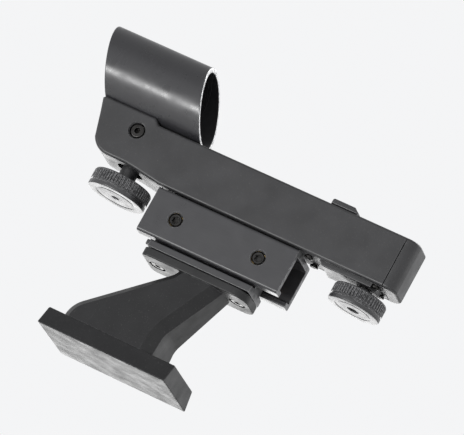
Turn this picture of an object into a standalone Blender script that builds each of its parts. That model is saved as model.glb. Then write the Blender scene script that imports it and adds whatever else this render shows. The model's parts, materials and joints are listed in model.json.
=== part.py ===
"""Red-dot finder scope on a stalk bracket, as separate pieces.

Frame: metres, +Z up, +Y towards the sky, +X to the user's right.  The origin is the centre of the
bottom face of the dovetail foot.  Run with: blender --background --python part.py
"""

import math

import bmesh
import bpy
from mathutils import Matrix, Vector

MM = 0.001
GAP = 0.3 * MM            # air between pieces that touch on the real object
STEP = 0.1 * MM           # small step where two shapes of one casting meet

# Dovetail foot and stalk
FOOT_BOTTOM_WIDTH = 32 * MM
FOOT_TOP_WIDTH = 26 * MM
FOOT_LENGTH = 46 * MM
FOOT_HEIGHT = 6.5 * MM
HEAD_PLATE_BOTTOM = 35.3 * MM
HEAD_PLATE_TOP = 38.1 * MM
HEAD_PLATE_WIDTH = 17 * MM
STALK_FLARE = 0.16        # half width gained per unit of drop below the head plate
RAIL_REAR = -31 * MM
RAIL_FRONT = 7 * MM
RAIL_SCREW_YS = {"rear": RAIL_REAR + 4.8 * MM, "front": RAIL_FRONT - 4.2 * MM}
RAIL_SCREW_SEAT = HEAD_PLATE_BOTTOM + 2 * MM

# Clamp
CHANNEL_REAR = -39 * MM
CHANNEL_FRONT = 12 * MM
CHANNEL_BOTTOM = 41.5 * MM
CHANNEL_TOP = 57.1 * MM
CHANNEL_WIDTH = 18 * MM
CHANNEL_WALL = 2 * MM
CLAMP_SCREW_Z = 49.4 * MM
CLAMP_SCREW_YS = {"front": 1.9 * MM, "rear": -28.1 * MM}
TONGUE_SCREW_YS = {"rear": -29 * MM, "front": -17 * MM}

# Housing
BODY_WIDTH = 15 * MM
BODY_REAR = -67.3 * MM
CAP_REAR = -72 * MM
BODY_BOTTOM = 57.9 * MM
BODY_TOP = 75.4 * MM
BODY_WALL = 1.3 * MM
SADDLE_REAR = 23.5 * MM
SADDLE_TOP = 77.4 * MM
FLOOR_TOP = BODY_BOTTOM + 1.2 * MM
BOSS_BOTTOM = 56.3 * MM
BOSS_TOP = 57.6 * MM
ROOF_INSIDE = BODY_TOP - BODY_WALL
HALF_INSIDE = BODY_WIDTH / 2 - BODY_WALL

COVER_SCREWS = {f"{end}_{side}": (x, y) for end, y in (("rear", -64.9 * MM), ("front", -41.2 * MM))
                for side, x in (("left", -4.4 * MM), ("right", 4.4 * MM))}
COVER_THREAD = 1.1 * MM

# Sight tube
TUBE_Z = 88.2 * MM
TUBE_RADIUS = 13 * MM
TUBE_WALL = 1.6 * MM
TUBE_REAR = 13 * MM
TUBE_FRONT = 48 * MM
TUBE_SLANT = math.radians(20)
TUBE_SIDES = 48
TUBE_THREAD = 1.3 * MM
BORE_START = (0, TUBE_REAR - 33 * MM, TUBE_Z)
BORE_END = (0, TUBE_FRONT + 32 * MM, TUBE_Z)
TUBE_SCREW_YS = {"rear": 17.5 * MM, "front": 37 * MM}
LENS_Y = 34 * MM
LENS_TILT = math.radians(5)

# Adjusters: both wheels turn about Z, the housing tilts about the pivot screws
SWIVEL_Y = -6 * MM
STUD_WAY = 2.1 * MM
THREAD_WAY = 1.6 * MM
AZIMUTH_Y = 26.5 * MM
AZIMUTH_THROW = 1.2 * MM
ALTITUDE_Y = -60.7 * MM
PIVOT_Y = 28.4 * MM
PIVOT_Z = 70.9 * MM
TONGUE_BOTTOM = 61.4 * MM
TONGUE_TOP = 63.6 * MM
CLIP_SHELF = TONGUE_TOP - 1.2 * MM
YOKE_BOTTOM = TONGUE_TOP + GAP
YOKE_TOP = 66.1 * MM

# Light, battery and switch
KNOB_Y = -26.5 * MM
KNOB_Z = 70.4 * MM
CELL_Y = -52.5 * MM
CELL_Z = 66.6 * MM
CELL_RADIUS = 6.25 * MM
DOOR_RADIUS = 7.3 * MM
HOOD_REAR = -48.8 * MM
HOOD_FRONT = -39.5 * MM

COLOURS = {
    "black_plastic": ((0.035, 0.035, 0.037), 0.42, 0.0),
    "black_anodised": ((0.040, 0.040, 0.043), 0.33, 0.6),
    "black_steel": ((0.05, 0.05, 0.05), 0.35, 1.0),
    "bright_steel": ((0.55, 0.55, 0.55), 0.3, 1.0),
    "brass": ((0.65, 0.48, 0.22), 0.35, 1.0),
    "coated_glass": ((0.35, 0.12, 0.16), 0.05, 0.0),
    "red_lens": ((0.6, 0.02, 0.02), 0.15, 0.0),
    "circuit_green": ((0.03, 0.16, 0.07), 0.5, 0.0),
}

for old in list(bpy.data.objects):
    bpy.data.objects.remove(old, do_unlink=True)

parts = bpy.data.collections.new("finder_scope")
cutters = bpy.data.collections.new("cutters")
bpy.context.scene.collection.children.link(parts)
bpy.context.scene.collection.children.link(cutters)


# ---------------------------------------------------------------- shared shapes

def material(name):
    """The named finish as a Principled material, made once."""
    found = bpy.data.materials.get(name)
    if found:
        return found
    colour, roughness, metallic = COLOURS[name]
    made = bpy.data.materials.new(name)
    made.use_nodes = True
    shader = made.node_tree.nodes["Principled BSDF"]
    shader.inputs["Base Color"].default_value = (*colour, 1)
    shader.inputs["Roughness"].default_value = roughness
    shader.inputs["Metallic"].default_value = metallic
    return made


def add_object(name, mesh, finish):
    """Link a mesh as a part, or as a hidden cutter when it has no finish."""
    made = bpy.data.objects.new(name, mesh)
    if finish:
        parts.objects.link(made)
        mesh.materials.clear()
        mesh.materials.append(material(finish))
        mesh.shade_smooth()
        mesh.set_sharp_from_angle(angle=math.radians(35))
    else:
        cutters.objects.link(made)
        made.hide_render = True
        made.display_type = "WIRE"
    return made


def from_bmesh(name, shape, finish, turn=None):
    """Close a bmesh into an object, turned by the given matrix."""
    if turn:
        bmesh.ops.transform(shape, matrix=turn, verts=shape.verts)
    bmesh.ops.recalc_face_normals(shape, faces=shape.faces)
    mesh = bpy.data.meshes.new(name)
    shape.to_mesh(mesh)
    shape.free()
    return add_object(name, mesh, finish)


def box(name, low, high, finish=None, bevel=0.0):
    """A box between two corners, with its edges rounded by bevel."""
    shape = bmesh.new()
    bmesh.ops.create_cube(shape, size=1)
    size = [b - a for a, b in zip(low, high)]
    centre = [(a + b) / 2 for a, b in zip(low, high)]
    bmesh.ops.scale(shape, vec=size, verts=shape.verts)
    bmesh.ops.translate(shape, vec=centre, verts=shape.verts)
    if bevel:
        bmesh.ops.bevel(shape, geom=shape.edges, offset=bevel, segments=2, profile=0.5, affect="EDGES")
    return from_bmesh(name, shape, finish)


def rod(name, start, end, radius, finish=None, sides=16):
    """A cylinder from start to end."""
    start = Vector(start)
    along = Vector(end) - start
    shape = bmesh.new()
    bmesh.ops.create_cone(shape, cap_ends=True, segments=sides, radius1=radius, radius2=radius,
                          depth=along.length)
    turn = Matrix.Translation(start + along / 2) @ along.to_track_quat("Z", "Y").to_matrix().to_4x4()
    return from_bmesh(name, shape, finish, turn)


def upright(name, y, low, high, radius, finish=None, sides=16):
    """A cylinder on the middle plane that stands along Z at y."""
    return rod(name, (0, y, low), (0, y, high), radius, finish, sides)


def arc(centre, radius, start, end, steps):
    """Points on an arc, angles in degrees."""
    angles = [math.radians(start + (end - start) * i / steps) for i in range(steps + 1)]
    return [(centre[0] + radius * math.cos(a), centre[1] + radius * math.sin(a)) for a in angles]


def outline(name, points, low, high, axis="X", finish=None):
    """A flat outline given thickness from low to high along X, Y or Z.

    The points are (y, z) for X, (x, z) for Y and (x, y) for Z.
    """
    curve = bpy.data.curves.new(name, "CURVE")
    curve.dimensions = "2D"
    curve.fill_mode = "BOTH"
    curve.extrude = (high - low) / 2
    spline = curve.splines.new("POLY")
    spline.points.add(len(points) - 1)
    for point, (u, v) in zip(spline.points, points):
        point.co = (u, v, 0, 1)
    spline.use_cyclic_u = True
    flat = bpy.data.objects.new(name + "_outline", curve)
    cutters.objects.link(flat)
    evaluated = flat.evaluated_get(bpy.context.evaluated_depsgraph_get())
    mesh = bpy.data.meshes.new_from_object(evaluated)
    bpy.data.objects.remove(flat, do_unlink=True)
    shape = bmesh.new()
    shape.from_mesh(mesh)
    bpy.data.meshes.remove(mesh)
    bmesh.ops.remove_doubles(shape, verts=shape.verts, dist=0.001 * MM)
    bmesh.ops.dissolve_limit(shape, angle_limit=math.radians(0.5), verts=shape.verts, edges=shape.edges)
    turn = {
        "X": Matrix(((0, 0, 1, 0), (1, 0, 0, 0), (0, 1, 0, 0), (0, 0, 0, 1))),
        "Y": Matrix(((1, 0, 0, 0), (0, 0, 1, 0), (0, 1, 0, 0), (0, 0, 0, 1))),
        "Z": Matrix.Identity(4),
    }[axis]
    shift = {"X": (1, 0, 0), "Y": (0, 1, 0), "Z": (0, 0, 1)}[axis]
    turn = Matrix.Translation(Vector(shift) * (low + high) / 2) @ turn
    return from_bmesh(name, shape, finish, turn)


def turned(name, profile, place, finish=None, steps=48):
    """A profile of (radius, height) points turned about Z, then placed by a matrix.

    The profile runs down its outer side.  One that starts and ends on the axis makes a solid,
    any other is closed on itself and makes a ring.
    """
    closed = profile[0][0] > 0
    mesh = bpy.data.meshes.new(name)
    last = len(profile) - 1
    edges = [(i, i + 1) for i in range(last)] + ([(last, 0)] if closed else [])
    mesh.from_pydata([(r, 0, z) for r, z in profile], edges, [])
    made = add_object(name, mesh, finish)
    screw = made.modifiers.new("turn", "SCREW")
    screw.angle = 2 * math.pi
    screw.steps = steps
    screw.render_steps = steps
    screw.use_merge_vertices = True
    screw.merge_threshold = 0.0001 * MM
    screw.use_smooth_shade = True
    made.matrix_world = place
    return made


def combine(target, other, operation):
    """Add a Boolean of other to target and hide other among the cutters."""
    if other.name in parts.objects:
        parts.objects.unlink(other)
        cutters.objects.link(other)
    other.hide_render = True
    other.display_type = "WIRE"
    step = target.modifiers.new(other.name, "BOOLEAN")
    step.operation = operation
    step.solver = "EXACT"
    step.object = other
    return target


def cut(target, *others):
    """Take the other shapes away from target."""
    for other in others:
        combine(target, other, "DIFFERENCE")
    return target


def join(target, *others):
    """Weld the other shapes to target."""
    for other in others:
        combine(target, other, "UNION")
    return target


def at(x, y, z):
    """A placing matrix without a turn."""
    return Matrix.Translation((x, y, z))


def along_x(x, y, z, side=1):
    """A placing matrix that turns +Z to +X, or to -X when side is -1."""
    return at(x, y, z) @ Matrix.Rotation(side * math.pi / 2, 4, "Y")


def screw_piece(name, place, head_radius, head_height, shank_radius, shank_length, finish, socket=0.0):
    """A cap screw that hangs down from its head's underside at the placing origin."""
    profile = [(0, head_height), (head_radius * 0.85, head_height), (head_radius, head_height * 0.7)]
    profile += [(head_radius, 0), (shank_radius, 0), (shank_radius, -shank_length), (0, -shank_length)]
    made = turned(name, profile, place, finish, steps=12)
    if socket:
        well = turned(name + "_socket", [(0, head_height * 1.5), (socket, head_height * 1.5),
                                         (socket, head_height * 0.35), (0, head_height * 0.35)],
                      place, steps=6)
        cut(made, well)
    return made


# ---------------------------------------------------------------- bracket

def stalk_side_outline():
    """Side view of the stalk as (y, z), from the foot up to the head plate.

    The front runs at 45 degrees and turns down into the foot. The rear is steeper.
    """
    inside_plate = HEAD_PLATE_BOTTOM + 1.6 * MM
    in_foot = FOOT_HEIGHT - 1 * MM
    points = [(-13.2 * MM, in_foot), (18 * MM, in_foot)]
    points += arc((9 * MM, 6.9 * MM), 9 * MM, 0, 45.7, 5)
    points += [(-5.7 * MM, 33.8 * MM), (-7.2 * MM, inside_plate), (-23.0 * MM, inside_plate)]
    points += arc((-23.15 * MM, 12.46 * MM), 10 * MM, 23.8, 4, 4)
    return points


def head_plate_plan():
    """Plan of the head plate as (x, y), rounded more at the rear than in front."""
    half = HEAD_PLATE_WIDTH / 2
    rear, front = 4.5 * MM, 2.5 * MM
    right = arc((half - rear, RAIL_REAR + rear), rear, -90, 0, 5)
    right += arc((half - front, RAIL_FRONT - front), front, 0, 90, 3)
    return right + [(-x, y) for x, y in reversed(right)]


def chamfer_corners(shape, width, rear):
    """Chamfer the stalk's two rear or two front corners from the foot to the head plate."""
    corners = []
    for edge in shape.edges:
        heights = [vert.co.z for vert in edge.verts]
        sides = [face for face in edge.link_faces if abs(face.normal.x) > 0.8]
        others = [face for face in edge.link_faces if abs(face.normal.x) <= 0.8]
        if len(sides) == 1 and len(others) == 1 and (others[0].normal.y < 0) == rear \
                and max(heights) > FOOT_HEIGHT - 0.9 * MM and min(heights) < HEAD_PLATE_BOTTOM:
            corners.append(edge)
    bmesh.ops.bevel(shape, geom=corners, offset=width, segments=1, profile=0.5, affect="EDGES",
                    clamp_overlap=True)


def make_stalk_bracket():
    """Foot, flaring stalk and head plate in one casting."""
    half_bottom = FOOT_BOTTOM_WIDTH / 2
    half_top = FOOT_TOP_WIDTH / 2
    section = [(-half_bottom, 0), (half_bottom, 0), (half_top, FOOT_HEIGHT), (-half_top, FOOT_HEIGHT)]
    foot = outline("stalk_bracket", section, -FOOT_LENGTH / 2, FOOT_LENGTH / 2, "Y", "black_anodised")
    stalk = outline("stalk", stalk_side_outline(), -20 * MM, 20 * MM)
    shape = bmesh.new()
    shape.from_mesh(stalk.data)
    for side in (-1, 1):
        normal = Vector((side, 0, STALK_FLARE))
        point = Vector((side * (HEAD_PLATE_WIDTH / 2 - 0.4 * MM), 0, HEAD_PLATE_BOTTOM))
        everything = shape.verts[:] + shape.edges[:] + shape.faces[:]
        result = bmesh.ops.bisect_plane(shape, geom=everything, plane_co=point, plane_no=normal,
                                        clear_outer=True)
        rim = [item for item in result["geom_cut"] if isinstance(item, bmesh.types.BMEdge)]
        bmesh.ops.contextual_create(shape, geom=rim)
    bmesh.ops.recalc_face_normals(shape, faces=shape.faces)
    chamfer_corners(shape, 3.5 * MM, rear=True)
    chamfer_corners(shape, 2 * MM, rear=False)
    shape.to_mesh(stalk.data)
    shape.free()
    plate = outline("head_plate", head_plate_plan(), HEAD_PLATE_BOTTOM, HEAD_PLATE_TOP, "Z")
    join(foot, stalk, plate)
    for end, y in RAIL_SCREW_YS.items():
        cut(foot, rod(f"rail_screw_way_{end}", (0, y, HEAD_PLATE_BOTTOM - 3 * MM),
                      (0, y, HEAD_PLATE_TOP + 1 * MM), 1.6 * MM))
        cut(foot, rod(f"rail_screw_well_{end}", (0, y, HEAD_PLATE_BOTTOM - 3 * MM),
                      (0, y, RAIL_SCREW_SEAT), 2.9 * MM))


def make_rail():
    """Stepped rail: a flange, a narrow neck and the head that the clamp grips."""
    flange, neck, head = 7.5 * MM, 3.9 * MM, 5.6 * MM
    z_flange, z_neck, z_head, z_top = HEAD_PLATE_TOP + GAP, 41.0 * MM, 43.8 * MM, 52.0 * MM
    slope = 0.3 * MM
    right = [(flange, z_flange), (flange, z_neck - slope), (neck, z_neck), (neck, z_head),
             (head, z_head + slope), (head, z_top)]
    section = right + [(-x, z) for x, z in reversed(right)]
    rail = outline("rail", section, RAIL_REAR + 0.6 * MM, RAIL_FRONT - 0.6 * MM, "Y", "black_anodised")
    for end, y in RAIL_SCREW_YS.items():
        cut(rail, rod(f"rail_thread_{end}", (0, y, z_flange - 1 * MM), (0, y, z_head - 0.6 * MM), 1.6 * MM))


def make_rail_screws():
    """Cap screws from below through the head plate into the rail."""
    for end, y in RAIL_SCREW_YS.items():
        place = at(0, y, RAIL_SCREW_SEAT - GAP) @ Matrix.Rotation(math.pi, 4, "X")
        screw_piece(f"rail_screw_{end}", place, 2.5 * MM, 1.6 * MM, 1.25 * MM, 5.5 * MM, "black_steel",
                    socket=1.2 * MM)


# ---------------------------------------------------------------- clamp

def make_clamp_channel():
    """C-section open below, with lips that hook under the rail's head."""
    outer = CHANNEL_WIDTH / 2
    inner = outer - CHANNEL_WALL
    lip = 4.6 * MM
    lip_top = CHANNEL_BOTTOM + 1.8 * MM
    right = [(lip, CHANNEL_BOTTOM), (outer - 0.6 * MM, CHANNEL_BOTTOM), (outer, CHANNEL_BOTTOM + 0.6 * MM),
             (outer, CHANNEL_TOP - 0.6 * MM), (outer - 0.6 * MM, CHANNEL_TOP)]
    inside = [(-lip, lip_top), (-inner, lip_top), (-inner, CHANNEL_TOP - CHANNEL_WALL)]
    section = right + [(-x, z) for x, z in reversed(right)]
    section += inside + [(-x, z) for x, z in reversed(inside)]
    channel = outline("clamp_channel", section, CHANNEL_REAR, CHANNEL_FRONT, "Y", "black_anodised")
    for end, y in CLAMP_SCREW_YS.items():
        cut(channel, rod(f"clamp_screw_way_{end}", (-outer - 1 * MM, y, CLAMP_SCREW_Z),
                         (-inner + 0.5 * MM, y, CLAMP_SCREW_Z), 2.35 * MM))
    top_holes = [(end, y, THREAD_WAY) for end, y in TONGUE_SCREW_YS.items()]
    top_holes += [("stud", SWIVEL_Y, STUD_WAY)]
    for tag, y, radius in top_holes:
        cut(channel, rod(f"channel_way_{tag}", (0, y, CHANNEL_TOP - 3 * MM), (0, y, CHANNEL_TOP + 1 * MM),
                         radius))


def make_clamp_screws():
    """Socket set screws in the clamp's near wall, each its own node."""
    inner = CHANNEL_WIDTH / 2 - CHANNEL_WALL
    for end, y in CLAMP_SCREW_YS.items():
        name = f"clamp_screw_{end}"
        place = along_x(-inner + 0.15 * MM, y, CLAMP_SCREW_Z, side=-1)
        length = 1.9 * MM
        profile = [(0, length), (1.7 * MM, length), (2.05 * MM, length - 0.35 * MM), (2.05 * MM, 0), (0, 0)]
        screw = turned(name, profile, place, "black_steel", steps=16)
        cut(screw, turned(name + "_socket", [(0, length * 1.5), (1.1 * MM, length * 1.5),
                                             (1.1 * MM, 0.7 * MM), (0, 0.7 * MM)], place, steps=6))


def make_gib_strip():
    """Brass strip between the set screws and the rail's head."""
    box("gib_strip", (-6.6 * MM, -36 * MM, 45.0 * MM), (-5.9 * MM, 9 * MM, 51.5 * MM), "brass")


def make_base_tongue():
    """Bar on the clamp that carries the azimuth wheel out in front."""
    pedestal = 3.4 * MM
    tongue = box("base_tongue", (-3 * MM, -34 * MM, TONGUE_BOTTOM), (3 * MM, AZIMUTH_Y, TONGUE_TOP),
                 "black_steel")
    join(tongue,
         box("tongue_pedestal", (-pedestal, -34.4 * MM, CHANNEL_TOP + GAP),
             (pedestal, 6 * MM, TONGUE_TOP - STEP)),
         upright("tongue_pad", AZIMUTH_Y, TONGUE_BOTTOM + STEP, TONGUE_TOP - STEP, 4.3 * MM, sides=32))
    cut(tongue,
        upright("tongue_journal", AZIMUTH_Y, TONGUE_BOTTOM - 1 * MM, TONGUE_TOP + 1 * MM, 2.3 * MM),
        upright("tongue_clip_well", AZIMUTH_Y, CLIP_SHELF, TONGUE_TOP + 1 * MM, 3.2 * MM),
        upright("tongue_stud_way", SWIVEL_Y, CHANNEL_TOP, TONGUE_TOP + 1 * MM, STUD_WAY))
    for end, y in TONGUE_SCREW_YS.items():
        cut(tongue, upright(f"tongue_thread_{end}", y, CHANNEL_TOP, 61.6 * MM, THREAD_WAY))


def make_tongue_screws():
    """Screws from inside the clamp up into the tongue."""
    for end, y in TONGUE_SCREW_YS.items():
        place = at(0, y, CHANNEL_TOP - CHANNEL_WALL - GAP) @ Matrix.Rotation(math.pi, 4, "X")
        screw_piece(f"tongue_screw_{end}", place, 2.4 * MM, 1.7 * MM, 1.25 * MM, 6 * MM, "black_steel",
                    socket=1.1 * MM)


def make_swivel_stud():
    """Vertical pivot of the azimuth adjustment, with its washer under the head."""
    screw_piece("swivel_stud", at(0, SWIVEL_Y, YOKE_TOP + 1 * MM), 3 * MM, 1.4 * MM, 1.8 * MM, 11.7 * MM,
                "bright_steel", socket=1.2 * MM)
    washer = [(2.1 * MM, 0.4 * MM), (3.4 * MM, 0.4 * MM), (3.4 * MM, 0), (2.1 * MM, 0)]
    turned("swivel_washer", washer, at(0, SWIVEL_Y, YOKE_TOP + GAP), "bright_steel", steps=16)


# ---------------------------------------------------------------- yoke

def make_yoke_bar():
    """Bar that swivels on the stud, with the tilt pivot in front and the altitude nut behind."""
    head_half = 5.3 * MM
    yoke = box("yoke_bar", (-2.2 * MM, ALTITUDE_Y, YOKE_BOTTOM), (2.2 * MM, 30 * MM, YOKE_TOP), "black_steel")
    pad_low, pad_high = YOKE_BOTTOM + STEP, YOKE_TOP - STEP
    join(yoke,
         box("yoke_head", (-head_half, 21.5 * MM, pad_low), (head_half, 32.5 * MM, PIVOT_Z + 2.3 * MM)),
         upright("yoke_stud_pad", SWIVEL_Y, pad_low, pad_high, 3.6 * MM, sides=32),
         upright("yoke_nut_pad", ALTITUDE_Y, pad_low, pad_high, 3.4 * MM, sides=32))
    slot_y = AZIMUTH_Y - AZIMUTH_THROW
    cut(yoke,
        upright("yoke_stud_way", SWIVEL_Y, YOKE_BOTTOM - 1 * MM, YOKE_TOP + 1 * MM, STUD_WAY),
        upright("yoke_screw_way", ALTITUDE_Y, YOKE_BOTTOM - 1 * MM, YOKE_TOP + 1 * MM, 2.0 * MM),
        box("yoke_slot", (-1.45 * MM, slot_y - 1.7 * MM, YOKE_BOTTOM - 1 * MM),
            (1.45 * MM, slot_y + 2.1 * MM, 67.2 * MM)),
        rod("yoke_pivot_way", (-7 * MM, PIVOT_Y, PIVOT_Z), (7 * MM, PIVOT_Y, PIVOT_Z), 1.6 * MM))


def make_altitude_nut():
    """Hexagon nut on the yoke that the altitude screw runs in."""
    z = YOKE_TOP + GAP
    nut = upright("altitude_nut", ALTITUDE_Y, z, z + 2 * MM, 3.2 * MM, "brass", sides=6)
    cut(nut, upright("nut_thread", ALTITUDE_Y, z - 1 * MM, z + 3 * MM, 1.9 * MM))


def make_pivot_screws():
    """Shoulder screws through both housing walls into the yoke's head."""
    for side, tag in ((-1, "left"), (1, "right")):
        place = along_x(side * 6.1 * MM, PIVOT_Y, PIVOT_Z, side)
        screw_piece(f"pivot_screw_{tag}", place, 2.25 * MM, 1.0 * MM, 1.3 * MM, 3.4 * MM, "black_steel",
                    socket=1.0 * MM)


# ---------------------------------------------------------------- adjuster wheels

def knurled_wheel(name, y, bottom, top, radius, teeth, hub_radius, hub_top, recess_radius):
    """Thumbwheel with straight knurling between two plain lips, and a hub on top."""
    groove = 0.45 * MM
    lip = 0.9 * MM
    profile = [(0, hub_top), (hub_radius, hub_top), (hub_radius, top), (radius - 0.7 * MM, top)]
    profile += [(radius, top - 0.5 * MM), (radius, bottom + lip + 2 * groove)]
    profile += [(radius - groove, bottom + lip + 1.4 * groove),
                (radius - groove, bottom + lip + 0.6 * groove)]
    profile += [(radius - 0.1 * MM, bottom + lip), (radius - 0.5 * MM, bottom + 0.2 * MM)]
    profile += [(radius - 0.9 * MM, bottom)]
    profile += [(recess_radius, bottom), (recess_radius, bottom + 1.3 * MM), (0, bottom + 1.3 * MM)]
    wheel = turned(name, profile, at(0, y, 0), "black_anodised", steps=teeth)
    knurl_low = bottom + lip + 2 * groove
    knurl_depth = 0.5 * MM
    notch = bmesh.new()
    for index in range(teeth):
        angle = 2 * math.pi * (index + 0.5) / teeth
        turn = Matrix.Rotation(angle, 4, "Z") @ at(radius + 0.15 * MM, 0, (top + knurl_low) / 2 + 0.3 * MM)
        turn = turn @ Matrix.Rotation(math.pi / 4, 4, "Z") @ Matrix.Diagonal(
            (knurl_depth * 1.3, knurl_depth * 1.3, top - knurl_low + 0.6 * MM, 1))
        bmesh.ops.create_cube(notch, size=1, matrix=turn)
    cut(wheel, from_bmesh(name + "_knurl", notch, None, at(0, y, 0)))
    return wheel


def make_azimuth_wheel():
    """Front thumbwheel and its eccentric shaft, held up by a clip in the tongue."""
    hub_top = TONGUE_BOTTOM - GAP
    wheel = knurled_wheel("azimuth_wheel", AZIMUTH_Y, 49.7 * MM, 55.5 * MM, 10 * MM, 28, 2.9 * MM, hub_top,
                          1.2 * MM)
    bore_bottom = 53 * MM
    cut(wheel, upright("azimuth_bore", AZIMUTH_Y, bore_bottom, hub_top + 1 * MM, 1.6 * MM))
    shaft = upright("azimuth_shaft", AZIMUTH_Y, TONGUE_BOTTOM, TONGUE_TOP - 0.3 * MM, 2 * MM, "bright_steel")
    join(shaft,
         upright("azimuth_stem", AZIMUTH_Y, bore_bottom + GAP, TONGUE_BOTTOM + 1 * MM, 1.3 * MM),
         upright("azimuth_pin", AZIMUTH_Y - AZIMUTH_THROW, TONGUE_TOP - 1.5 * MM, 66.8 * MM, 1.1 * MM))
    clip_z = CLIP_SHELF + GAP
    clip = [(2.3 * MM, 0.6 * MM), (2.9 * MM, 0.6 * MM), (2.9 * MM, 0), (2.3 * MM, 0)]
    turned("azimuth_clip", clip, at(0, AZIMUTH_Y, clip_z), "bright_steel", steps=16)


def make_altitude_wheel():
    """Rear thumbwheel, its screw up through the housing floor, clip and anti-backlash spring."""
    bottom = 48.7 * MM
    hub_top = BOSS_BOTTOM - GAP
    wheel = knurled_wheel("altitude_wheel", ALTITUDE_Y, bottom, 54.4 * MM, 9 * MM, 24, 3.2 * MM, hub_top,
                          1.9 * MM)
    bore_bottom = bottom + 2 * MM
    cut(wheel, upright("altitude_bore", ALTITUDE_Y, bore_bottom, hub_top + 1 * MM, 2.1 * MM))
    screw = upright("altitude_screw", ALTITUDE_Y, BOSS_TOP - 0.6 * MM, 73 * MM, 1.5 * MM, "bright_steel")
    join(screw, upright("altitude_journal", ALTITUDE_Y, bore_bottom + GAP, BOSS_TOP + 1.3 * MM, 1.8 * MM))
    clip = [(2.1 * MM, 0.6 * MM), (2.7 * MM, 0.6 * MM), (2.7 * MM, 0), (2.1 * MM, 0)]
    turned("altitude_clip", clip, at(0, ALTITUDE_Y, BOSS_TOP + GAP), "bright_steel", steps=16)


def make_altitude_spring():
    """Compression coil between the clip and the yoke."""
    low, high, radius, turns, per_turn = 59.0 * MM, 63.3 * MM, 2.3 * MM, 4, 9
    curve = bpy.data.curves.new("altitude_spring", "CURVE")
    curve.dimensions = "3D"
    curve.bevel_depth = 0.22 * MM
    curve.bevel_resolution = 0
    curve.use_fill_caps = True
    spline = curve.splines.new("POLY")
    count = turns * per_turn
    spline.points.add(count)
    for index in range(count + 1):
        angle = 2 * math.pi * index / per_turn
        height = low + (high - low) * index / count
        spline.points[index].co = (radius * math.cos(angle), ALTITUDE_Y + radius * math.sin(angle), height, 1)
    coil = bpy.data.objects.new("spring_wire", curve)
    cutters.objects.link(coil)
    mesh = bpy.data.meshes.new_from_object(coil.evaluated_get(bpy.context.evaluated_depsgraph_get()))
    bpy.data.objects.remove(coil, do_unlink=True)
    shape = bmesh.new()
    shape.from_mesh(mesh)
    bmesh.ops.remove_doubles(shape, verts=shape.verts, dist=0.001 * MM)
    from_bmesh("altitude_spring", shape, "bright_steel")


# ---------------------------------------------------------------- housing

def body_outline():
    """Side view of the housing as (y, z), with the saddle and the slanted, rounded nose."""
    nose_top, nose_bottom = 44.2 * MM, 33.6 * MM
    nose_low_z = 59.7 * MM
    points = [(BODY_REAR, BODY_BOTTOM), (13.5 * MM, BODY_BOTTOM), (22.5 * MM, 59.2 * MM),
              (27 * MM, nose_low_z)]
    points += arc((nose_bottom, nose_low_z + 7.5 * MM), 7.5 * MM, -90, -28, 6)
    points += [(nose_top - 1.6 * MM, 71.5 * MM), (nose_top, SADDLE_TOP - 0.8 * MM),
               (nose_top - 0.8 * MM, SADDLE_TOP)]
    points += [(SADDLE_REAR + 1.2 * MM, SADDLE_TOP), (SADDLE_REAR, BODY_TOP + 0.6 * MM),
               (SADDLE_REAR - 0.6 * MM, BODY_TOP), (BODY_REAR, BODY_TOP)]
    return points


def inside_outline():
    """Side view of the room inside the housing, open at the bottom and at the rear end."""
    floor = 61.0 * MM
    points = [(BODY_REAR - 5 * MM, BODY_BOTTOM - 5 * MM), (12.5 * MM, BODY_BOTTOM - 5 * MM),
              (12.5 * MM, 59.3 * MM), (21 * MM, 60.4 * MM), (27 * MM, floor)]
    points += arc((33.4 * MM, floor + 6.2 * MM), 6.2 * MM, -90, -28, 4)
    points += [(41.2 * MM, 72 * MM), (42.2 * MM, ROOF_INSIDE), (BODY_REAR - 5 * MM, ROOF_INSIDE)]
    return points


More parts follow.
